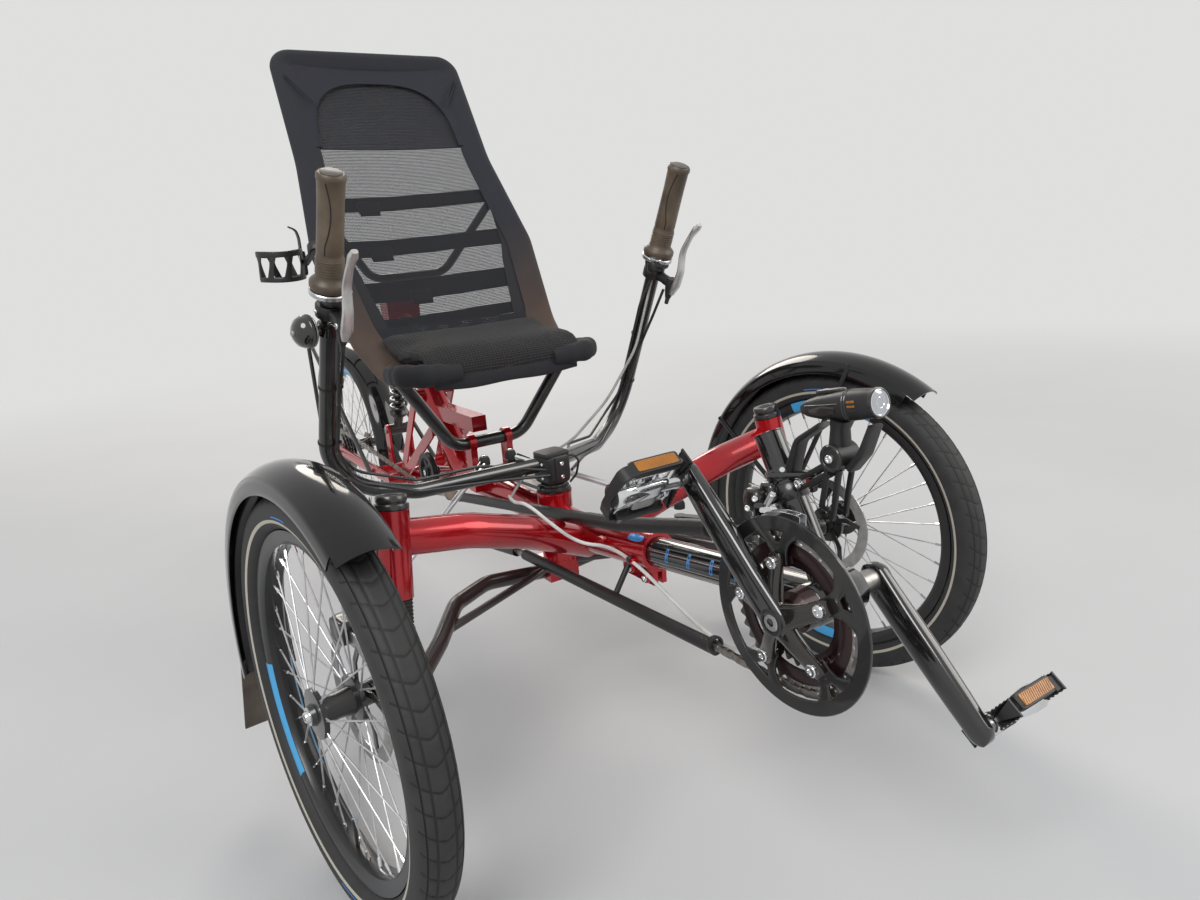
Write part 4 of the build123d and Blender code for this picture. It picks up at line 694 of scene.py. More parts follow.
def tyre_skin(centre):
    """The section turned round the hub, sunk by 1.2 mm where the tread has a cut or a groove."""
    section = wheel_section(25.0, 206.0, 249.6)
    rows, cols = TREAD_BLOCKS * 9, len(section)
    turns, around = np.arange(rows)[:, None] / rows, np.arange(cols)[None] / cols
    mirrored = np.abs(around - 0.5)
    slant = mirrored * TREAD_LEAN + turns * TREAD_BLOCKS
    cut = np.abs(slant - np.round(slant)) < TREAD_CUT
    for low, high in TREAD_LINES:
        cut = cut | ((mirrored > low) & (mirrored < high))
    radius = section[None, :, 1] - 1.2 * (cut & (mirrored < TREAD_HALF))
    angle = 2 * np.pi * turns
    grid = np.stack([section[None, :, 0] + 0 * radius, radius * np.cos(angle), radius * np.sin(angle)], 2)
    return np.asarray(centre) + grid, True, True, 0, (1.0, 1.0)


RIM_TURN = 62.0            # of the right wheel's rim, so that its bars stand as in the photograph
RIM = [(-12.5, 207), (-15, 207), (-14.6, 196), (-11, 190.5), (-4, 188), (4, 188), (11, 190.5), (14.6, 196),
       (15, 207), (12.5, 207), (10, 203), (-10, 203)]


def wheel(name, side, y, body, place):
    """Tyre, rim, 36 spokes with their nipples, and the hub with its disc."""
    centre = np.array([side * HALF_TRACK, y, HUB_Z])
    axis = np.array([1.0, 0, 0])
    out = side or 1
    piece(f"tyre_skin_{name}", [tyre_skin(centre)], [tyre_rubber], body, place, [f"tyre_{name}"], sharp=60)
    rim = hoop(RIM, centre, axis, 144)
    if side < 0:
        rim = (turned(rim[0], centre, axis, RIM_TURN), *rim[1:])
    valve = pipe(centre + np.array([[0, 0, -190.0], [0, 0, -150.0]]), 2.4, 8, (0, 1, 0))
    piece(f"rim_{name}", [rim, valve], [rim_black], body, place, [f"wheel_{name}"])
    k = np.arange(36)
    at = 2 * np.pi * k / 36
    root = at + np.radians(14.0) * np.where(k % 4 < 2, 1, -1)
    start = centre + np.stack([np.where(k % 2, 22.0, -22.0), 27 * np.cos(root), 27 * np.sin(root)], 1)
    end = centre + np.stack([np.zeros(36), 189 * np.cos(at), 189 * np.sin(at)], 1)
    spokes = [pipe([a, b], 1.05, 6, (1, 0.1, 0)) for a, b in zip(start, end)]
    nipples = [pipe([a + (b - a) * 0.925, b], 2.1, 6, (1, 0.1, 0), 1) for a, b in zip(start, end)]
    piece(f"spokes_{name}", spokes + nipples, [spoke_steel, polished], body, place)
    width = 31.0 if side else 56.0
    shell = [(-width, 11), (-26, 13), (-25, 29), (-19, 29), (-17, 17), (0, 15), (17, 17), (19, 29),
             (25, 29), (26, 13), (width, 11)]
    shells = [
        lathe(shell, centre, axis * out, 48),
        hoop([(width - 5, 10.5), (width + 1, 10.5), (width + 1, 6), (width - 5, 6)], centre, axis * out, 32,
             1),
        bolt(centre + axis * out * (width - 3), axis * out, 7.0, 8.0, 1),
    ]
    if side:
        flat = centre - axis * side * DISC_IN
        shells.append(hoop([(-1, 79.5), (1, 79.5), (1, 62), (-1, 62)], flat, axis, 96, 2, (1.0, 2.0)))
        for turn in np.radians(np.arange(0, 360, 72)):
            way = np.array([0, math.cos(turn + 0.5), math.sin(turn + 0.5)])
            foot = np.array([0, math.cos(turn), math.sin(turn)])
            path = np.array([flat + foot * 18, flat + (foot + way) * 22, flat + way * 66])
            shells.append(strip(path, 8.0, 2.2, (1, 0, 0), 0))
    piece(f"hub_{name}", shells, [satin_black, polished, rotor_steel], body, place)


def sprockets():
    """Five toothed plates on the rear hub's body."""
    centre = np.array([0, WHEELBASE, HUB_Z])
    shells = [lathe([(-52, 17), (-25, 17)], centre, (1, 0, 0))]
    for x, radius in ((-28.0, 58.0), (-33.5, 52.0), (-39.0, 47.0), (-45.0, 43.5), (-50.5, 38.0)):
        teeth = int(radius * 2 * math.pi / CHAIN_PITCH)
        outline = circle(radius - 1, teeth * 8, 2.4, teeth)
        shells.append(plate(outline, 2.0, centre + [x, 0, 0], (0, 1, 0), (0, 0, 1), circle(17.0, teeth * 8),
                            0.5))
    piece("sprockets", shells, [steel], "wheel_rear", None, ["cassette"])


def fender_walls(name, side):
    """The fender's two side walls: a thin blade with a rolled rim, turned round the hub from one angle to
    another."""
    blade = np.array([(30.4, 271.6), (32.6, 270.2), (33.8, 264.0), (34.2, 257.0), (34.7, 252.6),
                      (33.8, 250.6), (32.5, 251.6), (32.2, 257.0), (31.6, 264.0), (30.4, 269.4)])
    turn = np.radians(np.linspace(58, 193, 110))[:, None]
    shells = []
    for sign in (-1, 1):
        x, radius = side * HALF_TRACK + sign * blade[:, 0], blade[:, 1]
        grid = np.stack([x + 0 * turn, -radius * np.cos(turn), HUB_Z + radius * np.sin(turn)], 2)
        shells.append((capped(grid, grid[0].mean(0), grid[-1].mean(0)), False, True, 0, (1.0, 1.0)))
    piece(f"fender_walls_{name}", shells, [fender_black], f"knuckle_{name}", steered(side), sharp=60)


for name, side in SIDES.items():
    wheel(name, side, 0.0, f"wheel_{name}", steered(side))
wheel("rear", 0, WHEELBASE, "wheel_rear", None)
sprockets()
for name, side in SIDES.items():
    fender_walls(name, side)


# Cranks, chainrings, pedals

def by_axle(turn, radius, x):
    """Points at angles above the rearward direction and distances from the crank axle."""
    turn, radius, x = np.broadcast_arrays(*(np.asarray(a, float) for a in (turn, radius, x)))
    angle = np.radians(turn)
    return np.stack([x, CRANK_AXLE[1] + radius * np.cos(angle), CRANK_AXLE[2] + radius * np.sin(angle)], -1)


SPIDER_TURNS = np.arange(5) * 72.0 + 36.0 + CRANK_ANGLE
BOLT_R = 55.0
RING_X = CHAIN_X - 7.0         # the big ring is nearer to the guard than the chain's straight runs are
RING_R = 80.8                  # the chain's middle line round it
GUARD_X = -59.5


def rings():
    """Two chainrings: toothed rims on brown plates, five webs with their bolts, and the hub between them."""
    y, z = CRANK_AXLE[1:]
    shells = []
    for x, radius, inner in ((RING_X, RING_R - 3.5, 58.0), (CHAIN_X + 1, 60.0, 44.0)):
        teeth = int(radius * 2 * math.pi / CHAIN_PITCH)
        count = teeth * 8
        outline, rim = circle(radius - 1.0, count, 3.0, teeth), circle(radius - 5, count)
        shells += [
            plate(outline, 2.6, (x, y, z), (0, 1, 0), (0, 0, 1), rim, 0.6, 0),
            plate(rim, 2.2, (x, y, z), (0, 1, 0), (0, 0, 1), circle(inner, count), 0.5, 1),
        ]
    for turn in SPIDER_TURNS:
        shells += [
            bar_of(by_axle(turn, [50, 57, 64], RING_X), [9, 8, 9], 1.4, (1, 0, 0), 1, 0.5),
            lathe([(0, 5), (12, 5)], by_axle(turn, BOLT_R, RING_X - 6), (1, 0, 0), 20, 2),
        ]
    shells.append(lathe([(-12, 15), (-6, 21), (12, 21), (14, 18)], (CHAIN_X, y, z), (1, 0, 0), 40, 1))
    piece("toothed_rings", shells, [steel, ring_brown, gloss_black], "crank", None, ["chainrings"])


def guard():
    """Outer band on five forked webs, each held by a bolt, with a small slot between the fork's legs."""
    y, z = CRANK_AXLE[1:]
    band_profile = [(-1.6, 98.2), (-0.9, 99), (0.9, 99), (1.6, 98.2), (1.6, 84.7), (0.9, 84), (-0.9, 84),
                    (-1.6, 84.7)]
    shells = [hoop(band_profile, (GUARD_X, y, z), (1, 0, 0), 160)]
    for turn in SPIDER_TURNS:
        for sign in (-1, 1):
            t = np.linspace(0, 1, 12)
            leg = by_axle(turn + sign * (1.5 + 13.5 * t ** 1.5), 52 + 37 * t, GUARD_X)
            shells.append(bar_of(leg, np.interp(t, [0, 0.6, 1], [8.0, 5.4, 9.0]), 1.5, (1, 0, 0), 0, 0.45))
        shells.append(bar_of(by_axle(turn + np.linspace(-10, 10, 12), 70, GUARD_X), 4.0, 1.5, (1, 0, 0), 0,
                             0.45))
    piece("ring_guard", shells, [satin_black], "crank", None, ["chain_guard"])


def crank_arm(name, side):
    """A rounded arm, wide at the axle and at the pedal: its half widths follow a circle at each end. The
    right one carries five arms for the rings."""
    x = CRANK_X[side]
    turn = CRANK_ANGLE + (180.0 if side > 0 else 0.0)
    near, far = 17.0, 13.5
    q = np.linspace(0, np.pi / 2, 9)
    reach = np.concatenate([-near * np.cos(q), np.linspace(6, CRANK_L - 6, 24), CRANK_L + far * np.sin(q)])
    middle = np.interp(reach[9:-9], [6, 40, 90, 140, 164], [17.0, 16.4, 16.0, 14.6, 13.4])
    wide = np.concatenate([near * np.sin(q), middle, far * np.cos(q)])
    thick = np.interp(reach, [-16, 0, 50, 120, 170, 183], [6.0, 8.2, 9.6, 9.4, 8.2, 7.4])
    shells = [bar_of(by_axle(turn, reach, x), np.maximum(wide, 0.4), thick, (1, 0, 0), 0, 0.62, 28)]
    face = CRANK_AXLE + [x + side * 6, 0, 0]
    shells += [
        hoop([(0, 14.5), (2.2, 14.0), (2.8, 12.8), (2.8, 10), (0, 10)], face, (side, 0, 0), 36, 1),
        lathe([(0, 9.8), (1.6, 9.4), (2.4, 7.6), (2.4, 4.4), (0.4, 4.0)], face, (side, 0, 0), 30, 2),
    ]
    tip = by_axle(turn, CRANK_L, x + side * 6.4)
    shells.append(lathe([(0, 6.8), (0.9, 6.4), (0.9, 3.4), (-1.5, 3.2)], tip, (side, 0, 0), 24, 2))
    back = by_axle(turn, CRANK_L, x - side * 6.4)
    shells.append(lathe([(0, 7.2), (0.9, 6.8), (0.9, 3.6), (-1.5, 3.4)], back, (-side, 0, 0), 24, 2))
    if side < 0:
        # Spider arms in gloss black, tinted bronze as a painted warm highlight
        for spoke, strong in zip(SPIDER_TURNS, (0.62, 1.0, 1.0, 0.62, 0.62)):
            t = np.linspace(0, 1, 16)
            shift = x + np.interp(t, [0, 0.35, 1], [1.0, 4.0, 11.5])
            wide = np.interp(t, [0, 0.3, 0.6, 0.9, 1],
                             [15 * strong, 11.5 * strong, 9.4 * strong ** 0.5, 9.0, 7.0])
            thick = np.interp(t, [0, 0.5, 1], [7.2, 6.4, 3.6])
            shells.append(bar_of(by_axle(spoke, 4 + (BOLT_R + 4) * t, shift), wide, thick, (1, 0, 0), 3,
                                 0.72, 24))
            head = by_axle(spoke, BOLT_R, x + 4.6)
            shells.append(lathe([(-5, 6.4), (1.6, 6.4), (2.6, 5.4), (2.6, 3.2), (0.8, 2.8)], head,
                                (-1, 0, 0), 28, 4))
    piece(f"crank_arm_{name}", shells, [gloss_black, satin_black, alloy, black_painted_bronze_glint, polished], "crank",
          None, [f"crank_{name}"], sharp=40)


rings()
guard()
crank_arm("right", -1)
crank_arm("left", 1)


def pedal(name, side):
    """A two-sided pedal, hanging tilted: polished middle with ribs and clips, black toothed plates, a bowed
    outer band and a ribbed amber reflector at each end."""
    tip = by_axle(CRANK_ANGLE + (180.0 if side > 0 else 0.0), CRANK_L, 0.0)
    x = CRANK_X[side] + side * 56.0
    tilt = math.radians(52.0)
    ahead = np.array([0, -math.cos(tilt), math.sin(tilt)])
    rise = np.array([0, math.sin(tilt), math.cos(tilt)])
    middle = np.array([x, tip[1], tip[2]])
    cross = np.array([side, 0, 0])
    barrel = [(-42, 8.5), (-41, 10.5), (-34, 11), (-30, 9.6), (-8, 9.2), (2, 9.6), (14, 12.0), (26, 13.2),
              (38, 13.4), (41, 12.6)]
    shells = [
        lathe(barrel, middle, cross, 36, 0),
        lathe([(40.5, 10.6), (42.5, 10.2), (43.2, 7.0)], middle, cross, 32, 2),
        lump(middle, (24, 13, 9.5), cross, ahead, 0.45, 0),
    ]
    for sign in (-1, 1):
        for shift, wide in ((-27, 5), (-6, 4), (10, 4), (27, 5.5)):
            t = np.linspace(0, 1, 10)[:, None]
            bow = np.sin(t * np.pi)
            rib = middle + cross * shift * (1 + 0.1 * bow) + sign * (ahead * (5 + 25 * t) + rise * 3 * bow)
            half = np.interp(t[:, 0], [0, 0.5, 1], [wide + 2, wide - 1, wide + 1])
            shells.append(bar_of(rib, half, [4.5] * 5 + [3.4] * 5, rise, 0, 0.6))
        shells.append(lump(middle + sign * (ahead * 17 + rise * 6), (15, 8, 2.6), cross, ahead, 0.45, 1))
        rail = middle + ahead * sign * 24
        shells.append(bar_of([rail - cross * 30, rail + cross * 30], 2.4, 3.4, rise, 0, 0.6))
        end = middle + rise * sign * 2
        shells += [
            lump(end + ahead * sign * 33, (29, 4.0, 8.6), cross, ahead, 0.2, 2),
            lump(end + ahead * sign * 36.6, (24.5, 1.5, 6.0), cross, ahead, 0.16, 3),
        ]
        for k in np.linspace(-22, 22, 15):
            at = end + ahead * sign * 38.0 + cross * k
            shells.append(pipe([at - rise * 5.4 - cross * 2, at + rise * 5.4 + cross * 2], 0.75, 6, ahead, 3))
        shells.append(bolt(middle + ahead * sign * 34 + cross * 26 + rise * sign * 9, rise * sign, 2.6, 1.8,
                           1))
    saw = np.linspace(-37, 37, 97)
    tooth = np.abs(((saw / 6.2) % 1) - 0.5) * 5.0
    edge = np.concatenate([np.stack([saw, 7.5 + tooth], 1), np.stack([saw[::-1], -7.5 - tooth], 1)])
    for shift in ((-37,) if side < 0 else (-37, 37)):
        shells.append(plate(edge, 2.6, middle + cross * shift, ahead, rise, None, 0.4, 2, (0, 0)))
    loop = np.array([(24, 36), (39, 33), (43.5, 14), (43.5, -14), (39, -33), (24, -36)])
    loop = evenly(rounded([middle + cross * a + ahead * b for a, b in loop], [9, 16, 16, 9], 2.0), 50)
    outward = np.cross(np.tile(rise, (50, 1)), np.gradient(loop, axis=0))
    bow = np.interp(np.linspace(0, 1, 50), [0, 0.2, 0.5, 0.8, 1], [15, 15, 11, 15, 15])
    shells.append(strip(loop, bow, 2.6, outward, 2))
    piece(f"pedal_body_{name}", shells, [polished, steel, black_plastic, amber], f"pedal_{name}", None,
          [f"pedal_{name}"])
    spindle = [pipe([middle - cross * 51, middle - cross * 41], [8.5, 7.5], 20, rise, 0)]
    piece(f"pedal_spindle_{name}", spindle, [steel], "crank")


for name, side in SIDES.items():
    pedal(name, side)


# Chain, idler, spring

def chain_runs():
    """What the chain runs round, as y, z, radius and which way it turns, and the straight runs that touch
    each circle and the next."""
    circles = [(*CRANK_AXLE[1:], RING_R, -1), (11.0, 674.0, 300.0, 1), (*IDLER[1:], 40.8, 1),
               (WHEELBASE, HUB_Z, 48.0, -1), (1235.0, 177.0, 20.8, 1), (1190.0, 128.0, 20.8, -1),
               (219.0, -46.5, 300.0, 1)]
    runs = []
    for (y1, z1, r1, s1), (y2, z2, r2, s2) in zip(circles, circles[1:] + circles[:1]):
        away = math.hypot(y2 - y1, z2 - z1)
        heading = math.atan2(z2 - z1, y2 - y1) - math.asin((s2 * r2 - s1 * r1) / away)
        left = np.array([-math.sin(heading), math.cos(heading)])
        runs.append(([y1, z1] - s1 * r1 * left, [y2, z2] - s2 * r2 * left))
    return circles, runs


def chain_line():
    """The chain's middle line: the straight runs, and arcs round the circles."""
    circles, runs = chain_runs()
    line = []
    for (y, z, radius, turn), before, after in zip(circles, runs[-1:] + runs[:-1], runs):
        first = math.atan2(before[1][1] - z, before[1][0] - y)
        sweep = ((math.atan2(after[0][1] - z, after[0][0] - y) - first) * turn) % (2 * math.pi)
        angle = first + turn * np.linspace(0, sweep, 24)
        line.append(np.stack([y + radius * np.cos(angle), z + radius * np.sin(angle)], 1))
    line = np.concatenate(line + [line[0][:1]])
    line = evenly(np.insert(line, 0, CHAIN_X, axis=1), 3000)
    line[:, 0] = np.interp(line[:, 1], [-300.0, -195.0], [RING_X, CHAIN_X])
    return line


def links():
    """Chain links at even distances: round-ended side plates, close together and wide in turn, with a roller
    at each joint."""
    line = chain_line()
    length = np.linalg.norm(np.diff(line, axis=0), axis=1).sum()
    count = int(round(length / CHAIN_PITCH / 2)) * 2
    joints = evenly(line, count + 1)
    turn = ring_angles(12) + np.pi / 12
    outline = np.stack([4.0 * np.cos(turn) + 6.35 * np.sign(np.cos(turn)), 3.9 * np.sin(turn)], 1)
    shells = []
    for k in range(count):
        ahead = unit(joints[k + 1] - joints[k])
        rise = np.cross((1, 0, 0), ahead)
        middle = (joints[k] + joints[k + 1]) / 2
        flat = outline[:, :1] * ahead + outline[:, 1:] * rise + middle
        for sign in (-1, 1):
            out = np.array([sign * (3.3 if k % 2 else 2.3), 0, 0])
            inner = out - [sign * 0.9, 0, 0]
            plate_faces = np.stack([flat + out, flat + inner])
            shells.append((capped(plate_faces, middle + out, middle + inner), False, True, 0, (1.0, 1.0)))
        shells.append(lathe([(-2.2, 3.4), (2.2, 3.4)], joints[k], (1, 0, 0), 8, 1))
    piece("chain_links", shells, [chain_steel, steel], "frame", None, ["chain"], sharp=40)


def idler_wheel():
    """A grooved wheel turned round its axle, on six spokes."""
    at = IDLER
    rim = [(-6, 35), (-6, 38.5), (-4.6, 40), (-4, 36.4), (4, 36.4), (4.6, 40), (6, 38.5), (6, 35), (5, 29),
           (-5, 29)]
    shells = [hoop(rim, at, (1, 0, 0), 72, 0)]
    for turn in np.arange(0, 360, 60.0):
        way = np.array([0, math.cos(math.radians(turn)), math.sin(math.radians(turn))])
        shells.append(bar_of([at + way * 8, at + way * 20, at + way * 30.5], [6, 4, 7], 2.5, (1, 0, 0), 0,
                             0.5))
    shells += [
        lathe([(-6, 11), (-7, 10), (-7, 9), (20, 9)], at, (1, 0, 0), 32, 0),
        bolt(at - [6.8, 0, 0], (-1, 0, 0), 6.0, 3.2, 1),
    ]
    piece("idler_wheel", shells, [black_plastic, polished], "frame", None, ["idler"], sharp=40)


def spring():
    """Shock between its eyes: a helix round the damper, which has two plates and a bellows end."""
    top, low = np.array([0, 832.0, 560.0]), np.array([0, 925.0, 345.0])
    run = low - top
    length = np.linalg.norm(run)
    ahead = run / length
    first, second = square_to(ahead)
    t = np.linspace(0, 1, 260)
    turn = 2 * np.pi * 7.2 * t
    out = np.cos(turn)[:, None] * first + np.sin(turn)[:, None] * second
    coil = top + run * (0.22 + 0.56 * t)[:, None] + 17.2 * out
    damper = np.array([(0, 8), (0.10, 9), (0.12, 15), (0.17, 15.5), (0.19, 20.6), (0.22, 20.6), (0.22, 12),
                       (0.5, 12), (0.5, 8.5), (0.79, 8.5), (0.79, 20.6), (0.82, 20.6), (0.84, 12),
                       (0.96, 9), (1, 8)])
    shells = [pipe(coil, 3.6, 10, tuple(ahead), 0), lathe(damper * [length, 1], top, ahead, 40, 1)]
    for eye in (top, low):
        shells.append(lathe([(-22, 11), (-21, 12.6), (21, 12.6), (22, 11)], eye, (1, 0, 0), 32, 1))
        for side in (-1, 1):
            shells.append(bolt(eye + [side * 27.6, 0, 0], (side, 0, 0), 7.5, 4.0, 2))
    piece("shock_spring", shells, [gloss_black, satin_black, steel], "frame", None, ["shock"], sharp=40)


links()
idler_wheel()
spring()


# Steering: strut caps, bellows, clamp, boots, calipers

def struts(name, side):
    """Stacked cap on the strut, and ribbed bellows under its housing: their radius is a sine of the drop."""
    low, top = king_point(side, KING_DROP), king_point(side, 0.0)
    down = unit(low - top)
    scale = np.linalg.norm(low - top) / KING_DROP
    cap = [
        lathe([(0.4, 12), (0, 14), (0.3, 17.4), (2.0, 18.8), (8.0, 18.8), (9.0, 17.6), (10.5, 17.6),
               (11.0, 20.4), (12.5, 21.0), (17.4, 21.0)], top, down, 48, 0),
        lathe([(0.6, 9), (-0.2, 8.2), (-0.2, 3.6), (1.2, 3.2)], top, down, 30, 1),
    ]
    piece(f"strut_cap_{name}", cap, [satin_black, dark_core], "frame", None,
          ["strut_caps"] if side > 0 else [], sharp=40)
    t = np.linspace(0, 1, 85)
    ribs = np.stack([(122.8 + 36 * t) * scale, 17.4 + 2.0 * np.abs(np.sin(t * np.pi * 8))], 1)
    shell = [
        lathe(ribs, top, down, 48, 0),
        hoop([(0, 19.2), (0, 20.6), (4, 20.6), (4, 19.2)], king_point(side, 158.4), down, 40, 1),
        hoop([(0, 19.1), (0, 21.0), (9, 21.4), (9, 19.1)], king_point(side, 226.0), down, 40, 1),
    ]
    piece(f"bellows_{name}", shell, [rubber, satin_black], f"knuckle_{name}", steered(side), sharp=70)


def rod_boots(name, side):
    """Rubber boots and nuts over the tie rod's two eyes, and its threaded ends."""
    inner = with_bar(np.array([side * 26.0, 372.0, 380.3]))
    outer = steered(side)(np.array([side * 254.0, 200.0, 279.0]))
    boots = []
    for eye in (inner, outer):
        boots += [
            lathe([(-5.4, 8), (-5.0, 9.6), (3.0, 9.8), (6.0, 8.8), (9.0, 7.4)], eye, (0, 0, 1), 28, 0),
            lathe([(8.5, 4.4), (11.5, 4.2), (12, 3.4)], eye, (0, 0, 1), 20, 1),
        ]
    along_it = unit(outer - inner)
    span = np.linalg.norm(outer - inner)
    boots += [
        hoop([(10, 5.2), (10, 7.6), (34, 6.4), (34, 5.2)], inner, along_it, 24, 1),
        hoop([(span - 34, 5.2), (span - 34, 6.6), (span - 10, 7.8), (span - 10, 5.2)], inner, along_it, 24,
             1),
    ]
    piece(f"rod_boots_{name}", boots, [rubber, polished], f"tie_rod_{name}", sharp=50)


def brake_caliper(name, side):
    """Two soft-edged halves over the disc, a bridge, a red knob and an arm to the strut."""
    plane = side * (HALF_TRACK - DISC_IN)
    caliper = [
        block([plane - side * 12.5, 27, 322], (7.2, 21, 16), 0.42, 0),
        block([plane + side * 5.6, 27, 323], (3.4, 19, 14), 0.42, 0),
        block([plane - side * 5.0, 27, 334.0], (12, 19, 4.2), 0.5, 0),
        lathe([(0, 11), (4, 10.6), (5, 8), (5, 3)], (plane - side * 18.5, 24, 321), (-side, 0, 0), 32, 2),
    ]
    root = king_point(side, 170.0)
    caliper.append(bar_of([(plane - side * 17, 26, 322), (plane - side * 30, 24, 314),
                           root + [side * 6, 0, 2]], [9, 8, 9], [6, 5, 6], (0, 0, 1), 0, 0.6))
    for drop in (-10, 12):
        caliper.append(bolt((plane - side * 20, 27 + drop, 311), (-side, 0, 0), 3.4, 3.0, 1))
    piece(f"brake_caliper_{name}", caliper, [satin_black, polished, red_small], f"knuckle_{name}",
          steered(side), [f"caliper_{name}"], sharp=45)


for name, side in SIDES.items():
    struts(name, side)
    rod_boots(name, side)
    brake_caliper(name, side)


def stem_clamp():
    """Two-part block round the bar's middle on a ringed base."""
    base = np.array([0, 203.0, 359.4])
    shells = [lathe([(0, 22), (0.2, 25.8), (3.4, 26.4), (4.4, 24.6), (8.0, 24.2), (9.0, 20), (12, 19.5)],
                    base, (0, 0, 1), 56, 1)]
    body = np.array([0, 203.0, 396.0])
    shells += [
        block(body, (21.5, 24, 24.5), 0.34, 0, 26, 44),
        block(body + [0, -1.0, 22.5], (22.5, 21, 4.5), 0.3, 0),
        bar_of(body + np.array([[-9.0, -23.8, -20], [-9.0, -24.6, 0], [-9.0, -23.8, 20]]), 0.9, 1.0,
               (0, 1, 0), 2),
    ]
    for height in (-12.0, 9.0):
        shells += [
            bolt(body + [3, -23.0, height], (0, -1, 0), 3.4, 2.6, 3),
            bolt(body + [-20.6, -6.0, height], (-1, 0, 0), 3.4, 2.6, 3),
        ]
    shells.append(lathe([(0, 11.8), (-95, 11.8)], base + [0, 0, 0.4], (0, 0, 1), 32, 1))
    loop = np.array([(20, 196, 408), (34, 190, 412), (44, 192, 398), (40, 196, 376), (28, 198, 366)])
    shells += [
        pipe(evenly(rounded(loop, [8, 9, 10], 2.0), 40), 1.8, 8, (0, 1, 0), 4),
        hoop([(-2.4, 12.1), (-2.4, 15.0), (2.4, 15.0), (2.4, 12.1)], (-40, 230.4, 397.6), (174, 119, -28),
             32, 4),
    ]
    piece("stem_clamp", shells, [black_plastic, satin_black, dark_core, polished, cable_black], "bar",
          with_bar, ["bar_clamp"], sharp=40)


stem_clamp()


# Frame details: boom marks, collar, lug bolts, cable stops, tube ends

def by_boom(run, angle, radius):
    """Points round the boom's axis: a distance ahead of the collar, and an angle above the rider's right."""
    values = (run, np.radians(angle), radius)
    run, angle, radius = np.broadcast_arrays(*(np.asarray(a, float) for a in values))
    up = np.cross(BOOM_DIR, (-1.0, 0, 0))
    up = up if up[2] > 0 else -up
    right, rise = (radius * np.cos(angle))[..., None] * [-1.0, 0, 0], (radius * np.sin(angle))[..., None] * up
    return COLLAR + run[..., None] * BOOM_DIR + right + rise


def patch(run, angle, radius, wide, tall, power=0.25, number=0):
    """A thin raised shape on the boom or tube: a disc whose sine and cosine are raised to a power, wrapped
    round the axis."""
    q = ring_angles(40)
    rows = []
    for share, lift in ((0.0, 0.35), (0.96, 0.35), (1.0, 0.0)):
        a, b = share * wide / 2 * raised(np.cos(q), power), share * tall / 2 * raised(np.sin(q), power)
        rows.append(by_boom(run + a, angle + np.degrees(b / radius), radius + lift))
    return np.stack(rows), False, True, number, (1.0, 1.0)


def boom_body():
    """The boom, its shell round the crank axle, and the upright post for the front derailleur."""
    shells = [pipe([COLLAR - BOOM_DIR * 120, CRANK_AXLE], BOOM_R, 56, (1, 0, 0), 0)]
    shell_profile = [(-33, 12.6), (-33, 20.5), (-31.5, 22), (31.5, 22), (33, 20.5), (33, 12.6)]
    shells.append(hoop(shell_profile, CRANK_AXLE, (1, 0, 0), 64, 0))
    post = np.array([CRANK_AXLE + POST_DIR * 16, CRANK_AXLE + POST_DIR * 175])
    shells.append(pipe(post, POST_R, 48, (1, 0, 0), 0))
    piece("boom_body", shells, [gloss_black], "frame", None, ["boom"], sharp=45)


BOOM_TICKS = (-109.0, -152.0, -194.0, -237.0)      # places of the blue marks on both sides of the boom


def boom_marks():
    """Blue ticks on both sides of the boom, an oval patch on the tube behind it, and thin bright lines."""
    marks = []
    for angle in (19.0, 161.0):
        marks += [patch((y - COLLAR[1]) / BOOM_DIR[1], angle, BOOM_R, 5.6, 18.0) for y in BOOM_TICKS]
    marks.append(patch(-26.0, 52.0, 25.0, 34.0, 11.0, 0.7))
    for angle in (26.0, -14.0, -48.0, 150.0, 190.0):
        marks.append(pipe(by_boom([1.0, 260.0], angle, BOOM_R + 0.1), 0.6, 6, (0, 0, 1), 1))
    piece("boom_marks", marks, [blue_mark, alloy], "frame", sharp=60, closed=False)


def frame_lugs():
    """The collar at the boom, the bolts under it, cable stops, and the rims of the steering head."""
    shells = [hoop([(-3, 25.2), (-2.4, 26.2), (0.2, 26.2), (0.8, 25.4), (0.8, 21), (-3, 21)], COLLAR,
                   BOOM_DIR, 64, 0)]
    for y, z in ((-52.0, 297.0), (-18.0, 301.0)):
        shells.append(lathe([(-15, 6.2), (-14, 7.0), (14, 7.0), (15, 6.2)], (0, y, z), (1, 0, 0), 28, 0))
        for side in (-1, 1):
            shells.append(bolt((side * 14.6, y, z), (side, 0, 0), 4.8, 3.6, 1))
    for at in ((-25.5, -40.0, 322.0), (-25.5, 30.0, 331.0)):
        shells.append(block(at, (5, 8, 4.5), 0.4, 0))
    shells.append(hoop([(-3, 2.7), (-3, 4.6), (3, 4.6), (3, 2.7)], (-27.8, -40.0, 323.6), (0, -1, -0.13),
                       20, 2))
    for at, way in (((0, 203.0, 359.0), 1), ((0, 203.0, 246.6), -1)):
        shells.append(hoop([(0, 20), (0, 27.6), (-3, 27.8), (-3, 20)], at, (0, 0, way), 56, 0))
    piece("frame_lugs", shells, [candy_red, polished, cable_black], "frame", sharp=45)


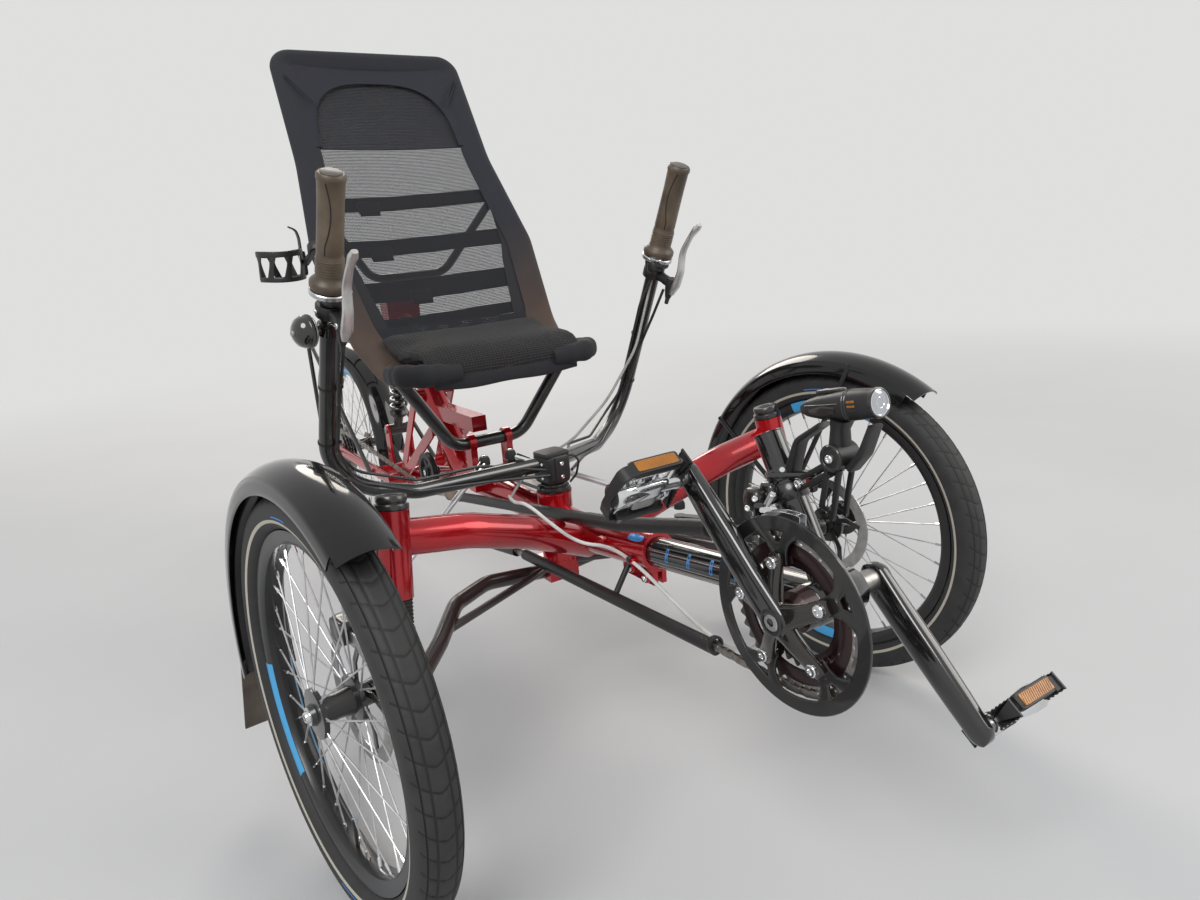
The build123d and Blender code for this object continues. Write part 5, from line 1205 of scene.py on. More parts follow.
def tube_rims():
    """Flared ends of the chain tubes, at shares of the chain's runs, and the upper tube's bent front end."""
    runs = chain_runs()[1]
    flare = [(-7, 8.6), (-6, 9.8), (-0.5, 10.4), (0.8, 10.0), (0.8, 7.4), (0, 7.2)]
    rims = []
    for k, share, number in ((1, 0.86, 1), (5, 0.62, 0), (6, 0.78, 0)):
        start, end = (np.array([CHAIN_X, *p]) for p in runs[k])
        at = start + (end - start) * share
        rims.append(hoop(flare, at, end - start, 32, number))
        if number:
            rims.append(hoop([(-52, 8.6), (-51, 9.6), (-8, 9.6), (-7, 8.6)], at, end - start, 32, 1))
    line = chain_line()
    line = line[(line[:, 1] > -232) & (line[:, 1] < 30) & (line[:, 2] > 350)]
    line = evenly(line[np.argsort(line[:, 1])], 60)
    rims += [
        pipe(line, 9.4, 28, (1, 0, 0), 0),
        hoop([(-7, 9.2), (-6, 10.4), (-0.5, 11.0), (0.8, 10.6), (0.8, 7.6), (0, 7.4)], line[0],
             line[0] - line[3], 32, 0),
    ]
    piece("tube_rims", rims, [black_plastic, tan_plastic], "frame", sharp=45)


boom_body()
boom_marks()
frame_lugs()
tube_rims()


def cage():
    """Bottle cage: two rounded hoops, the upper one wider, slanted struts between them, a foot, and a tall
    tongue that curves in at its top."""
    at = np.array([-236.0, 730.0, 705.0])
    q = np.linspace(0, 2 * np.pi, 73)
    shells = []
    for z, radius, tall in ((-1.0, 38.6, 4.4), (44.0, 39.2, 5.2)):
        band = at + np.stack([radius * np.cos(q), radius * np.sin(q), z + 1.6 * np.cos(2 * q)], 1)
        out = np.stack([np.cos(q), np.sin(q), 0 * q], 1)
        shells.append(bar_of(band, tall, 1.5, out, 0, 0.6, 14))
    for turn in np.arange(0, 360, 45.0):
        t = np.linspace(0, 1, 10)
        angle = np.radians(turn + 16 * t)
        strut = at + np.stack([38.9 * np.cos(angle), 38.9 * np.sin(angle), 44 * t], 1)
        out = np.stack([np.cos(angle), np.sin(angle), 0 * angle], 1)
        shells.append(bar_of(strut, np.interp(t, [0, 0.5, 1], [6.5, 4.2, 6.5]), 1.4, out, 0, 0.6, 12))
    tongue = at + np.array([(39.4, 6, 0), (39.6, 6, 46), (39.6, 5, 70), (36, 4, 84), (24, 3, 90)])
    tongue = evenly(rounded(tongue, [60, 40, 12], 2.0), 40)
    shells += [
        bar_of(tongue, np.interp(np.linspace(0, 1, 40), [0, 0.4, 0.8, 1], [13, 9, 7, 5]), 1.6, (1, 0, 0.3),
               0, 0.5),
        block(at + [41, 0, 24], (3.0, 12, 22), 0.35, 0),
    ]
    rail = np.array([-200.0 + 1.5, 608.0, 751.0])
    arm = np.array([at + [41, -8, 23], (at + [41, -8, 23] + rail) / 2 + [2, 0, 4], rail])
    shells += [
        bar_of(arm, [7, 6.2, 7.5], [5, 4.6, 6], (0, 0, 1), 0, 0.7),
        hoop([(-8, 12.8), (-8, 15.6), (-6.5, 16.4), (6.5, 16.4), (8, 15.6), (8, 12.8)], rail,
             (0.15, 0.52, 0.84), 40, 0),
    ]
    for z in (14.0, 34.0):
        shells.append(bolt(at + [36.5, 0, z], (-1, 0, 0), 4.2, 2.6, 1))
    piece("cage_hoops", shells, [black_plastic, polished], "frame", None, ["bottle_cage"], sharp=45)


cage()


# Seat

LEFT_RAIL = evenly(rounded(SEAT_RAIL, SEAT_BENDS), 240)
RAIL_AHEAD = unit(np.gradient(LEFT_RAIL[:, 1:], axis=0))
SEAT_LENGTH = 779.0        # along the seat, from the front rail to the top rail
SLEEVE_R = 12.6            # cloth round the rail
SLEEVE_W = 38.0            # sleeve's inner edge from the rail's middle
PAN_SLEEVE_W = 50.0
ARCH_HALF = 0.84           # arch's half width, as a share of the seat's
ARCH_FOOT = 589.0          # along the seat, to the arch's feet
ARCH_RISE = 138.0
ARCH_POWER = 2.9


def on_rail(run, values):
    """One of the rail's values at a distance along the seat."""
    return np.interp(np.asarray(run, float) / SEAT_LENGTH * (len(LEFT_RAIL) - 1), np.arange(len(LEFT_RAIL)),
                     values)


def seat_at(share, run, lift=0.0):
    """A point of the seat: a share of the half width from the middle, a distance along it from the front
    rail, and a lift off the face between the rails, towards the rider."""
    share, run, lift = np.broadcast_arrays(*(np.asarray(a, float) for a in (share, run, lift)))
    x, y, z = (on_rail(run, LEFT_RAIL[:, k]) for k in range(3))
    ay, az = (on_rail(run, RAIL_AHEAD[:, k]) for k in range(2))
    return np.stack([share * x, y - az * lift, z + ay * lift], -1)


def cloth(low, high, inset=14.0, lift=0.0, sag=0.0, thick=1.0, rows=60, cols=48, number=0):
    """A sheet across the seat between two lines, each a function of the share of the half width. Rows go up
    the seat, columns across its front and back across its rear face; its middle hangs back by the sag."""
    across = np.linspace(-1, 1, cols)
    start, end = (f(across) if callable(f) else np.full(cols, float(f)) for f in (low, high))
    run = start + (end - start) * np.linspace(0, 1, rows)[:, None]
    share = across * (1 - inset / on_rail(run, LEFT_RAIL[:, 0]))
    off = lift - sag * (1 - share ** 2)
    front, back = (seat_at(share, run, off + half) for half in (thick / 2, -thick / 2))
    length = float(np.max(end - start)) / 1000
    return two_faced(front, back), False, True, number, (length, 0.72)


def arch(share):
    """Lower edge of the headrest's plain panel: a flat-topped arch whose sides stand nearly straight, as the
    two shares raised to one power add up to 1."""
    return ARCH_FOOT + ARCH_RISE * np.maximum(1 - np.abs(share / ARCH_HALF) ** ARCH_POWER,
                                              0) ** (1 / ARCH_POWER)


def border():
    """The sleeve round the rails, up one side, over the top and down the other: a drop-shaped section with
    its point inwards, carried along the rail."""
    left = [tuple(p) for p in SEAT_RAIL]
    right = [(-x, y, z) for x, y, z in reversed(left)]
    path = rounded(left + right, SEAT_BENDS + [28.0, 28.0] + SEAT_BENDS[::-1], 5.0)
    path = evenly(path, 420)
    run = np.interp(path[:, 1] + path[:, 2], LEFT_RAIL[:, 1] + LEFT_RAIL[:, 2],
                    np.linspace(0, SEAT_LENGTH, len(LEFT_RAIL)))
    ahead = unit(np.gradient(path, axis=0))
    face = np.stack([0 * run, -on_rail(run, RAIL_AHEAD[:, 1]), on_rail(run, RAIL_AHEAD[:, 0])], 1)
    out = unit(np.cross(ahead, face))
    wide = np.interp(run, [0, 120, 220, 740, 779], [PAN_SLEEVE_W, PAN_SLEEVE_W, SLEEVE_W, SLEEVE_W, 24.0])
    turn = np.radians(np.linspace(110, -110, 23))
    round_x, round_y = SLEEVE_R * np.cos(turn), SLEEVE_R * np.sin(turn)
    t = np.linspace(1, 0, 8)[1:, None]
    first = np.array([round_x[0], round_y[0]])
    side_x = first[0] + (-wide[None] - first[0]) * (1 - t)
    side_y = first[1] * t ** 0.8 + 0 * side_x
    x = np.concatenate([side_x[::-1].T, np.tile(round_x, (len(path), 1)), side_x.T[:, :-1]], 1)
    y = np.concatenate([side_y[::-1].T, np.tile(round_y, (len(path), 1)), -side_y.T[:, :-1]], 1)
    grid = path[:, None] + x[..., None] * out[:, None] + y[..., None] * face[:, None]
    return capped(grid, grid[0].mean(0), grid[-1].mean(0)), False, True, 0, (2.2, 0.11)


def seam(shares, runs, lift):
    """A raised line of stitching between two points given on the seat."""
    t = np.linspace(0, 1, 24)
    line = seat_at(np.interp(t, [0, 1], shares), np.interp(t, [0, 1], runs), lift)
    return pipe(line, 1.0, 6, (0, -1, 0.5))


def facing(line, run):
    """The seat's own facing direction at a distance along it, once for each point of a line."""
    face = np.array([0.0, -float(on_rail(run, RAIL_AHEAD[:, 1])), float(on_rail(run, RAIL_AHEAD[:, 0]))])
    return np.tile(face, (len(line), 1))


def as_mesh(obj):
    """Puts what the modifiers show into the piece's own mesh, and takes them off."""
    shown = obj.evaluated_get(bpy.context.evaluated_depsgraph_get())
    mesh = bpy.data.meshes.new_from_object(shown)
    obj.modifiers.clear()
    obj.data = mesh


def positions(mesh):
    """The mesh's points as one array."""
    out = np.empty(len(mesh.vertices) * 3)
    mesh.vertices.foreach_get("co", out)
    return out.reshape(-1, 3)


def puffed(obj, cap, voxel=0.0045, pressure=4.0, frames=20):
    """Fills a closed shape as foam fills its cover: the mesh is rebuilt in even cells, swells under a light
    pressure, and each point keeps at most the capped part of its move."""
    remesh = obj.modifiers.new("cells", "REMESH")
    remesh.mode = "VOXEL"
    remesh.voxel_size = voxel
    as_mesh(obj)
    before = positions(obj.data)
    swell = obj.modifiers.new("swell", "CLOTH").settings
    swell.use_pressure = True
    swell.uniform_pressure_force = pressure
    swell.effector_weights.gravity = 0.0
    for frame_number in range(1, frames + 1):
        bpy.context.scene.frame_set(frame_number)
    as_mesh(obj)
    bpy.context.scene.frame_set(1)
    move = positions(obj.data) - before
    length = np.linalg.norm(move, axis=1, keepdims=True)
    after = before + move * np.minimum(1, cap / np.maximum(length, 1e-9))
    obj.data.vertices.foreach_set("co", after.ravel())
    obj.data.polygons.foreach_set("use_smooth", np.ones(len(obj.data.polygons), bool))
    smooth = obj.modifiers.new("even", "SMOOTH")
    smooth.factor, smooth.iterations = 0.5, 6
    as_mesh(obj)
    finer = obj.modifiers.new("finer", "SUBSURF")
    finer.levels = finer.render_levels = 1
    obj.data.update()


# Side view of the pan's pad, (y, z) from the rear over the top to the front hem and back along its underside
PAD_SIDE = [(500, 602), (470, 597), (430, 590), (385, 587), (348, 585), (328, 578), (317, 565), (314, 550),
            (316, 538), (322, 537), (325, 548), (333, 561.5), (380, 560), (428, 556), (468, 572)]


def pan_pad():
    """The pan's pad: its side view goes round a smooth closed line, is drawn together towards both sides and
    widens to the rear."""
    side = np.array(PAD_SIDE, float)
    at = np.linspace(0, len(side), 72, endpoint=False)
    loop = np.stack([np.interp(at, np.arange(len(side) + 1),
                               np.append(side[:, k], side[0, k])) for k in range(2)], 1)
    for _ in range(3):
        loop = (np.roll(loop, 1, 0) + 2 * loop + np.roll(loop, -1, 0)) / 4
    across = np.sin(np.linspace(-np.pi / 2, np.pi / 2, 42))
    full = np.maximum(1 - np.abs(across) ** 7, 0) ** 0.5
    y = loop[None, :, 0] + 0 * across[:, None]
    core = np.interp(y, [310, 330, 430, 505], [556, 572, 573, 600])
    z = core + (loop[None, :, 1] - core) * full[:, None]
    half = np.interp(y, [310, 430, 505], [142, 150, 160])
    grid = np.stack([half * across[:, None], y, z], 2)
    pad = piece("seat_cushion", [(grid, False, True, 0, (1.0, 1.0))], [pan_cloth], "frame", None,
                ["seat_pad"])
    puffed(pad, 0.005)


def pan_trim():
    """Hem below the pan's front edge, and the pockets that hold its corners on the rail."""
    x = np.linspace(-128, 128, 50)
    dip = 2.2 * np.cos(x / 21.0)
    middle = np.stack([x, 317.5 + 0.4 * dip, 532.0 + 0.5 * dip + 0.0002 * x ** 2], 1)
    shells = [bar_of(middle, 12.5, 2.6, (0, 1, 0), 0, scale=(0.26, 0.05))]
    for sign in (-1, 1):
        corner = np.array([(168.0, 404.0, 546.0), (165.0, 338.0, 550.0), (146.0, 322.0, 549.0),
                           (84.0, 322.0, 546.0)])
        path = evenly(rounded(corner, [24.0, 24.0], 3.0), 40) * [sign, 1, 1]
        t = np.linspace(0, 1, 40)
        fold = 1 + 0.05 * np.sin(t * 34) * np.sin(np.pi * t)
        radius = (13.0 + 4.5 * np.sin(np.pi * t) ** 0.8) * fold
        radius[[0, -1]] = 13.0
        shells += [
            bar_of(path, radius * 1.04, radius * 1.02, (0, 0, 1), 1, 0.8, scale=(0.14, 0.11)),
            # Short sun-faded brown sleeve at each pocket, with patches of painted sunlight
            bar_of(path[2:5], 14.6, 16.4, (0, 0, 1), 2),
        ]
    piece("pan_trim", shells, [sleeve_cloth, pocket_cloth, faded_cloth_painted_sun], "frame", sharp=70)


def seat_meshes():
    """The open cloth of the back and the closer cloth of the headrest, stretched between the rails."""
    back = piece("seat_back_mesh", [cloth(196.0, 590.0, 24.0, 0.0, 9.0, 0.4, 70, 50)], [mesh_cloth],
                 "frame", None, ["seat_mesh"], sharp=80)
    head = piece("seat_head_mesh", [cloth(588.0, 741.0, 22.0, 0.5, 8.0, 1.0, 40, 60)], [dense_mesh],
                 "frame", sharp=80)
    pan = [cloth(150.0, 214.0, 20.0, 1.5, 6.0, 1.2, 20, 40)]
    piece("seat_pan_cloth", pan, [dense_mesh], "frame", sharp=80)


def head_panel():
    """The headrest's plain panel above the arch, two seams on each side and the piping along the arch."""
    panel = [cloth(arch, 772.0, 14.0, 4.0, 6.0, 4.0, 40, 180, 0)]
    for sign in (-1, 1):
        for shift in (0.0, 9.0):
            panel.append(seam([sign * 0.98, sign * 0.74], [728.0 + shift, 668.0 + shift], 12.5 - shift / 6))
    turn = np.linspace(0, np.pi, 120)
    share = ARCH_HALF * raised(np.cos(turn), 2 / ARCH_POWER)
    runs = ARCH_FOOT + ARCH_RISE * np.sin(turn) ** (2 / ARCH_POWER)
    share = share * (1 - 14.0 / on_rail(runs, LEFT_RAIL[:, 0]))
    line = evenly(seat_at(share, runs, 5.2 - 6 * (1 - share ** 2)), 160)
    panel.append(pipe(line, 2.0, 8, (0, -1, 0.5), 0))
    piece("seat_head_panel", panel, [head_cloth], "frame", sharp=50)


def inner_bands():
    """Bands of close cloth inside the sleeve on both sides of the back, narrower towards the top."""
    bands = []
    for sign in (-1, 1):
        runs = np.linspace(205, 470, 30)
        inner = 1 - np.interp(runs, [205, 330, 470], [64, 56, 30]) / on_rail(runs, LEFT_RAIL[:, 0])
        outer = 1 - 22.0 / on_rail(runs, LEFT_RAIL[:, 0])
        across = np.stack([sign * inner, sign * (inner + outer) / 2, sign * outer], 1)
        front, rear = (seat_at(across, runs[:, None], lift - 8 * (1 - across ** 2)) for lift in (1.2, 0.4))
        bands.append((two_faced(front, rear), False, True, 0, (0.27, 0.08)))
    piece("seat_inner_bands", bands, [band_cloth], "frame", sharp=80)


def seat_straps():
    """Straps behind the back that draw the rails together, three of them with a buckle and a loose tail."""
    straps = []
    for run, width in ((482.0, 31.0), (388.0, 34.0), (298.0, 42.0), (232.0, 24.0)):
        share = np.linspace(-0.94, 0.94, 50)
        line = seat_at(share, run + 3 * np.sin(share * 2.2), -13.0 - 9 * (1 - share ** 2))
        straps.append(strip(line, width, 1.6, facing(line, run), 0, (0.36, 0.07)))
        spot = -0.42 if run > 350 else -0.2
        if run > 280:
            middle = seat_at(spot, run - width / 2 + 4, -17.0)
            straps.append(lump(middle, (21, 12, 3.6), (1, 0, 0), np.cross(facing(line, run)[0], (1, 0, 0)),
                               0.3, 1))
            tail = seat_at(np.array([spot - 0.1, spot + 0.1]), run - width / 2 - 8, -17.0)
            straps.append(strip(evenly(tail, 6), 11, 1.2, facing(evenly(tail, 6), run), 0))
    piece("seat_straps", straps, [strap_black, black_plastic], "frame", sharp=60)


seat_meshes()
head_panel()
piece("seat_border", [border()], [border_cloth], "frame", sharp=80)
inner_bands()
pan_pad()
pan_trim()
seat_straps()


# Handlebar: grips, shifters, levers, bell and cables, all drawn with the bar straight ahead

AHEAD = np.array([0.0, -1.0, 0.0])


def bar_side(side):
    """Top of one end of the bar and the direction down along it."""
    top, low = BAR_TOP * [side, 1, 1], BAR_LOW * [side, 1, 1]
    return top, unit(low - top)


GRIP = [(-5, 11.0), (-5.5, 16.0), (-3, 18.2), (1.5, 18.5), (4.5, 17.2), (30, 16.7), (70, 16.9), (96, 17.2),
        (98, 16.3), (100.5, 17.5), (126, 17.8), (131, 19.2), (134, 23.0), (137, 25.6), (143, 25.8),
        (146, 24.4), (147, 13.0)]


def grips(name, side):
    """A grip turned round the bar, with its plug, three moulded lines that bow round it and six fine ribs."""
    top, down = bar_side(side)
    grip = [
        lathe(GRIP, top, down, 48, 0, (0.1, 0.15)),
        lathe([(-7.0, 12.5), (-6.2, 13.6), (-4.8, 13.6)], top, down, 40, 1),
    ]
    first, second = square_to(down)
    t = np.linspace(0, 1, 50)
    for start, bow in ((0.4, 0.55), (1.5, 0.2), (3.9, 0.4)):
        turn = start + bow * np.sin(np.pi * np.minimum(t * 1.15, 1)) * side
        radius = np.interp(4 + 92 * t, *np.transpose(GRIP)) + 0.1
        out = np.cos(turn)[:, None] * first + np.sin(turn)[:, None] * second
        line = top + (4 + 92 * t)[:, None] * down + radius[:, None] * out
        grip.append(pipe(line, 0.75, 6, (1, 0, 0), 2))
    for at in np.linspace(105, 124, 6):
        grip.append(hoop([(at - 0.7, 17.4), (at, 18.6), (at + 0.7, 17.4)], top, down, 40, 0))
    piece(f"grip_{name}", grip, [grip_rubber, grip_cap, dark_core], "bar", with_bar,
          ["grips"] if side > 0 else [], sharp=50)


def shifters(name, side):
    """The twist shifter's collar and housing below the grip."""
    top, down = bar_side(side)
    ahead, inward = AHEAD, np.array([-side * 1.0, 0, 0])
    shift = [hoop([(147.5, 12.1), (147.5, 25.0), (149, 26.2), (154, 26.0), (156, 22), (156, 12.1)], top,
                  down, 48, 0)]
    body = top + down * 163 + inward * 5 + ahead * 9
    shift += [
        lump(body, (17, 17, 11), inward, ahead, 0.5, 1),
        lump(top + down * 168 + inward * 14 + ahead * 14, (11, 11, 12), inward, ahead, 0.7, 1),
        lathe([(0, 11.4), (2, 11.4), (2.6, 10.6)], top + down * 154 + inward * 14 + ahead * 14, -down, 30, 2),
        pipe([body + down * 8, body + down * 26 + inward * 4], [3.6, 3.0], 10, (1, 0, 0), 2),
        bolt(body - inward * 4 + ahead * 16, ahead, 3.4, 2.4, 2),
    ]
    piece(f"shifter_{name}", shift, [alloy, black_plastic, polished], "bar", with_bar)


def levers(name, side):
    """The brake lever: a clamp on the bar, an arm forward to the pivot's case, and a blade that runs up along
    the grip, its distance from the bar given along it."""
    top, down = bar_side(side)
    ahead, inward = AHEAD, np.array([-side * 1.0, 0, 0])
    clamp = top + down * 178
    square = unit(ahead - (ahead @ down) * down)
    pivot = clamp + square * 48
    lever = [
        hoop([(-9, 12.1), (-9, 17), (-7.5, 18), (7.5, 18), (9, 17), (9, 12.1)], clamp, down, 40, 0),
        bar_of([clamp + square * 13, clamp + square * 28, pivot], [8, 7, 9], [9, 7.5, 8], down, 0, 0.7),
    ]
    case = np.array([pivot - down * 9, pivot, pivot + down * 12, pivot + down * 26])
    lever += [
        bar_of(case, [8.5, 9.5, 8.0, 4.6], [7, 9, 7, 4.4], ahead, 0, 0.75),
        pipe([pivot + down * 25, pivot + down * 37], [4.2, 3.4], 12, ahead, 1),
        bolt(pivot + inward * -8 - down * 2, -inward, 4.2, 2.6, 2),
        bolt(clamp - inward * 17, -inward, 3.4, 3.0, 2),
    ]
    route = [(194, 54), (176, 60), (150, 62), (118, 55), (88, 63), (62, 76)]
    points = np.array([top + down * run + square * out for run, out in route])
    blade = evenly(rounded(points, [12, 16, 40, 60], 3.0), 40)
    s = np.linspace(0, 1, 40)
    wide = np.interp(s, [0, 0.12, 0.4, 0.8, 0.93, 1.0], [4.5, 8.5, 7.0, 5.2, 6.8, 4.4])
    thick = np.interp(s, [0, 0.15, 0.4, 0.8, 0.93, 1.0], [4.2, 4.6, 3.4, 3.2, 5.0, 3.4])
    lever.append(bar_of(blade, wide, thick, ahead, 3, 0.7))
    piece(f"lever_{name}", lever, [black_plastic, cable_black, polished, lever_silver], "bar", with_bar,
          ["brake_levers"] if side > 0 else [], sharp=50)


def bell():
    """A dome and its stem turned about one axis, with the striker's barrel ahead of it."""
    top, down = bar_side(-1)
    foot = top + down * 206
    out = unit(np.array([-1.0, -0.2, 0.0]))
    shells = [
        lathe([(8, 5), (14, 6.5), (26, 7), (28, 21), (31, 22), (38, 21.6), (45, 18), (50, 11), (52, 4)],
              foot, out, 48, 0),
        hoop([(28, 22.0), (29.5, 22.6), (31, 22.0), (29.5, 21.4)], foot, out, 48, 1),
        lathe([(50.5, 4.5), (53.5, 4.2), (54.5, 3)], foot, out, 20, 1),
    ]
    ahead = unit(np.array([0.35, -1.0, 0.1]))
    shells += [
        lathe([(10, 3.2), (28, 3.2), (28.5, 6.4), (40, 6.6), (41, 5.6)], foot - [8, 0, -6], ahead, 28, 2),
        hoop([(-7, 12.1), (-7, 15.5), (7, 15.5), (7, 12.1)], foot, down, 36, 0),
        bolt(foot + [0, 15, 0], (0, 1, 0), 3.2, 3.0, 1),
    ]
    piece("bell_dome", shells, [gloss_black, steel, polished], "bar", with_bar, ["bell"], sharp=40)


def bar_cables(name, side):
    """Brake and gear cables down the bar to its middle, tied to it."""
    top, down = bar_side(side)
    ahead, inward = AHEAD, np.array([-side * 1.0, 0, 0])
    middle = np.array([side * 20.0, 178.0, 392.0])
    low = BAR_LOW * [side, 1, 1]
    shells = []
    brake = [top + down * 212 + ahead * 37, top + down * 262 + ahead * 30 + inward * 3,
             top + down * 330 + ahead * 20 + inward * 9, top + down * 408 + ahead * 15 + inward * 10,
             low + inward * 34 + ahead * 34 + [0, 0, 6], np.array([side * 176.0, 306.0, 380.0]),
             np.array([side * 90.0, 244.0, 386.0]), middle]
    gear = [top + down * 188 + inward * 9 + ahead * 9, top + down * 240 + inward * 19 + ahead * 6,
            top + down * 330 + inward * 16 + ahead * 4, top + down * 420 + inward * 15 + ahead * 4,
            low + inward * 44 + ahead * 16 + [0, 0, 16], np.array([side * 168.0, 330.0, 391.0]),
            np.array([side * 84.0, 276.0, 404.0]), middle + [side * -4, 6, 6]]
    for points, bends in ((brake, [60, 70, 60, 26, 40, 60]), (gear, [40, 60, 50, 26, 40, 60])):
        shells.append(pipe(evenly(rounded(np.array(points), bends, 4.0), 130), 2.5, 8, (1, 0.2, 0), 0))
    for run in (300.0, 396.0):
        at = top + down * run
        shells += [
            hoop([(-1.3, 12.1), (-1.3, 13.4), (1.3, 13.4), (1.3, 12.1)], at, down, 30, 1),
            lump(at + inward * 9 + ahead * 11, (10, 3.4, 1.4), inward + ahead, down, 0.5, 1),
        ]
    piece(f"bar_cables_{name}", shells, [cable_black, strap_tie], "bar", with_bar, sharp=60)


for name, side in SIDES.items():
    grips(name, side)
    shifters(name, side)
    levers(name, side)
    bar_cables(name, side)
bell()


# Lamp on the derailleur's post, and the front derailleur

def lamp_shells():
    """A long oval lamp, slim at the rear and round at the glass: half widths along a line, evened out by a
    running mean, on a hinge."""
    rear, front = np.array([0, -324.0, 560.5]), np.array([0, -410.0, 577.0])
    ahead = unit(front - rear)
    side = np.array([1.0, 0, 0])
    up = np.cross(side, -ahead)
    up = up if up[2] > 0 else -up
    t = np.linspace(0, 1, 60)
    s = [0, 0.02, 0.10, 0.30, 0.55, 0.72, 0.86, 0.95, 1.0]
    wide = 0.93 * np.interp(t, s, [6, 8.5, 10.5, 13.5, 15.2, 15.4, 15.0, 14.4, 13.6])
    high = 0.93 * np.interp(t, s, [5, 7.5, 9.5, 13.0, 15.0, 15.4, 15.0, 14.4, 13.6])
    kernel = np.ones(7) / 7
    wide, high = (np.convolve(np.pad(v, 3, "edge"), kernel, "valid") for v in (wide, high))
    line = rear + (front - rear) * t[:, None]
    shells = [bar_of(line, wide, high, up, 0, 0.8, 44)]
    for k in (39, 41):
        swell = np.array([-0.6, 0.45, -0.6])
        shells.append(bar_of(line[k - 1:k + 2], wide[k] + swell, high[k] + swell, up, 1, 0.8, 44))
    shells += [
        hoop([(-2, 12.6), (-1, 14.0), (1.6, 13.8), (2.2, 12.4), (1.0, 11.4)], front, ahead, 48, 1),
        hoop([(1.4, 10.4), (2.4, 11.2), (1.8, 12.2), (0.4, 12.0)], front, ahead, 48, 2),
        lathe([(0.2, 11.4), (1.2, 11.0), (1.7, 8), (2.0, 4.6)], front, ahead, 48, 3),
        hoop([(1.6, 4.0), (2.6, 4.6), (2.0, 5.4)], front, ahead, 32, 2),
    ]
    for row in range(3):
        for col in range(3):
            k = int(60 * (0.735 + col * 0.04))
            at = line[k] + up * (4.2 - row * 4.2) - side * (wide[k] * 0.985)
            shells.append(lump(at, (1.3, 1.1, 0.7), ahead, up, 0.4, 4 if row < 2 else 1))
    k = np.arange(6, 37)
    ridge = line[k] + up * 3.0 - side * wide[k][:, None] * 0.975
    shells.append(bar_of(ridge, 0.9, 0.8, up, 1))
    groove = line[10:34] - up * 2.5 - side * wide[10:34][:, None] * 0.97
    shells += [
        bar_of(groove, np.interp(np.linspace(0, 1, 24), [0, 0.5, 1], [2, 5, 3]), 0.9, side, 1, 0.6),
        lump(line[24] + up * 14.6, (17, 5, 2.2), ahead, side, 0.5, 1),
        lathe([(0, 4), (2.2, 3.6), (2.8, 2.4)], line[20] + up * 14.2, up, 20, 2),
    ]
    hinge = np.array([0, -367.0, 520.5])
    neck = np.array([line[30] - up * 12, (line[30] + hinge) / 2 + [0, 0, 2], hinge + [0, 0, 6]])
    shells += [
        bar_of(neck, [13, 10, 11], [8.5, 7, 9], (0, 1, 0), 0, 0.7),
        lathe([(-14, 11), (-13, 13.4), (13, 13.4), (14, 11)], hinge, (-1, 0, 0), 44, 0),
        hoop([(13.5, 8.6), (14.6, 9.4), (14.6, 12.0), (13.5, 12.8)], hinge, (-1, 0, 0), 44, 1),
        bolt(hinge + [-13.8, 0, 0], (-1, 0, 0), 4.4, 3.2, 2),
    ]
    return shells


def bracket_shells():
    """The lamp's forked bracket: two legs, a lattice of bars on each side, and a band round the post."""
    shells = []
    legs = [((-305.5, 492.0), (-318.0, 528.0), (-347.0, 548.0), 8.5),
            ((-382.0, 512.0), (-396.0, 528.0), (-407.0, 556.0), 7.0)]
    for (y1, z1), (y2, z2), (y3, z3), wide_leg in legs:
        path = evenly(rounded([(0, y1, z1), (0, y2, z2), (0, y3, z3)], [14.0], 2.0), 20)
        thick = np.interp(np.linspace(0, 1, 20), [0, 0.5, 1], [0.6 * wide_leg, 3.4, 2.6])
        shells.append(bar_of(path, 9.0, thick, (0, 1, 0.2), 0, 0.5))
    for shift in (-9.0, 9.0):
        for a, b in (((-326.0, 492.0), (-360.0, 514.0)), ((-323.0, 480.0), (-362.0, 505.0)),
                     ((-360.0, 512.0), (-352.0, 468.0)), ((-374.0, 510.0), (-366.0, 462.0)),
                     ((-352.0, 466.0), (-368.0, 460.0))):
            bar = np.array([(shift, *a), (shift * 0.94, (a[0] + b[0]) / 2, (a[1] + b[1]) / 2), (shift, *b)])
            shells.append(bar_of(bar, 2.6, 2.4, (1, 0, 0), 0, 0.5, 14))
        shells.append(lathe([(-1.6, 6.4), (1.6, 6.4)], (shift, -358.0, 464.0), (1, 0, 0), 24, 0))
    shells += [
        bolt((-11.4, -324.5, 486.0), (-1, 0, 0), 4.6, 3.0, 2),
        bolt((-10.4, -359.0, 464.0), (-1, 0, 0), 3.6, 2.6, 1),
    ]
    band = CRANK_AXLE + POST_DIR * 131
    shells.append(hoop([(-7, POST_R), (-7, 17.0), (-6, 17.8), (6, 17.8), (7, 17.0), (7, POST_R)], band,
                       POST_DIR, 44, 5))
    lip = np.array([band + [-16, 2, 2], band + [-7, -19, 5], band + [0, -30, 6], band + [0, -40, 8]])
    shells.append(bar_of(lip, [6, 5.5, 5.5, 4.5], [3.4, 3.0, 3.4, 3.0], (0, 0, 1), 5, 0.6))
    return shells


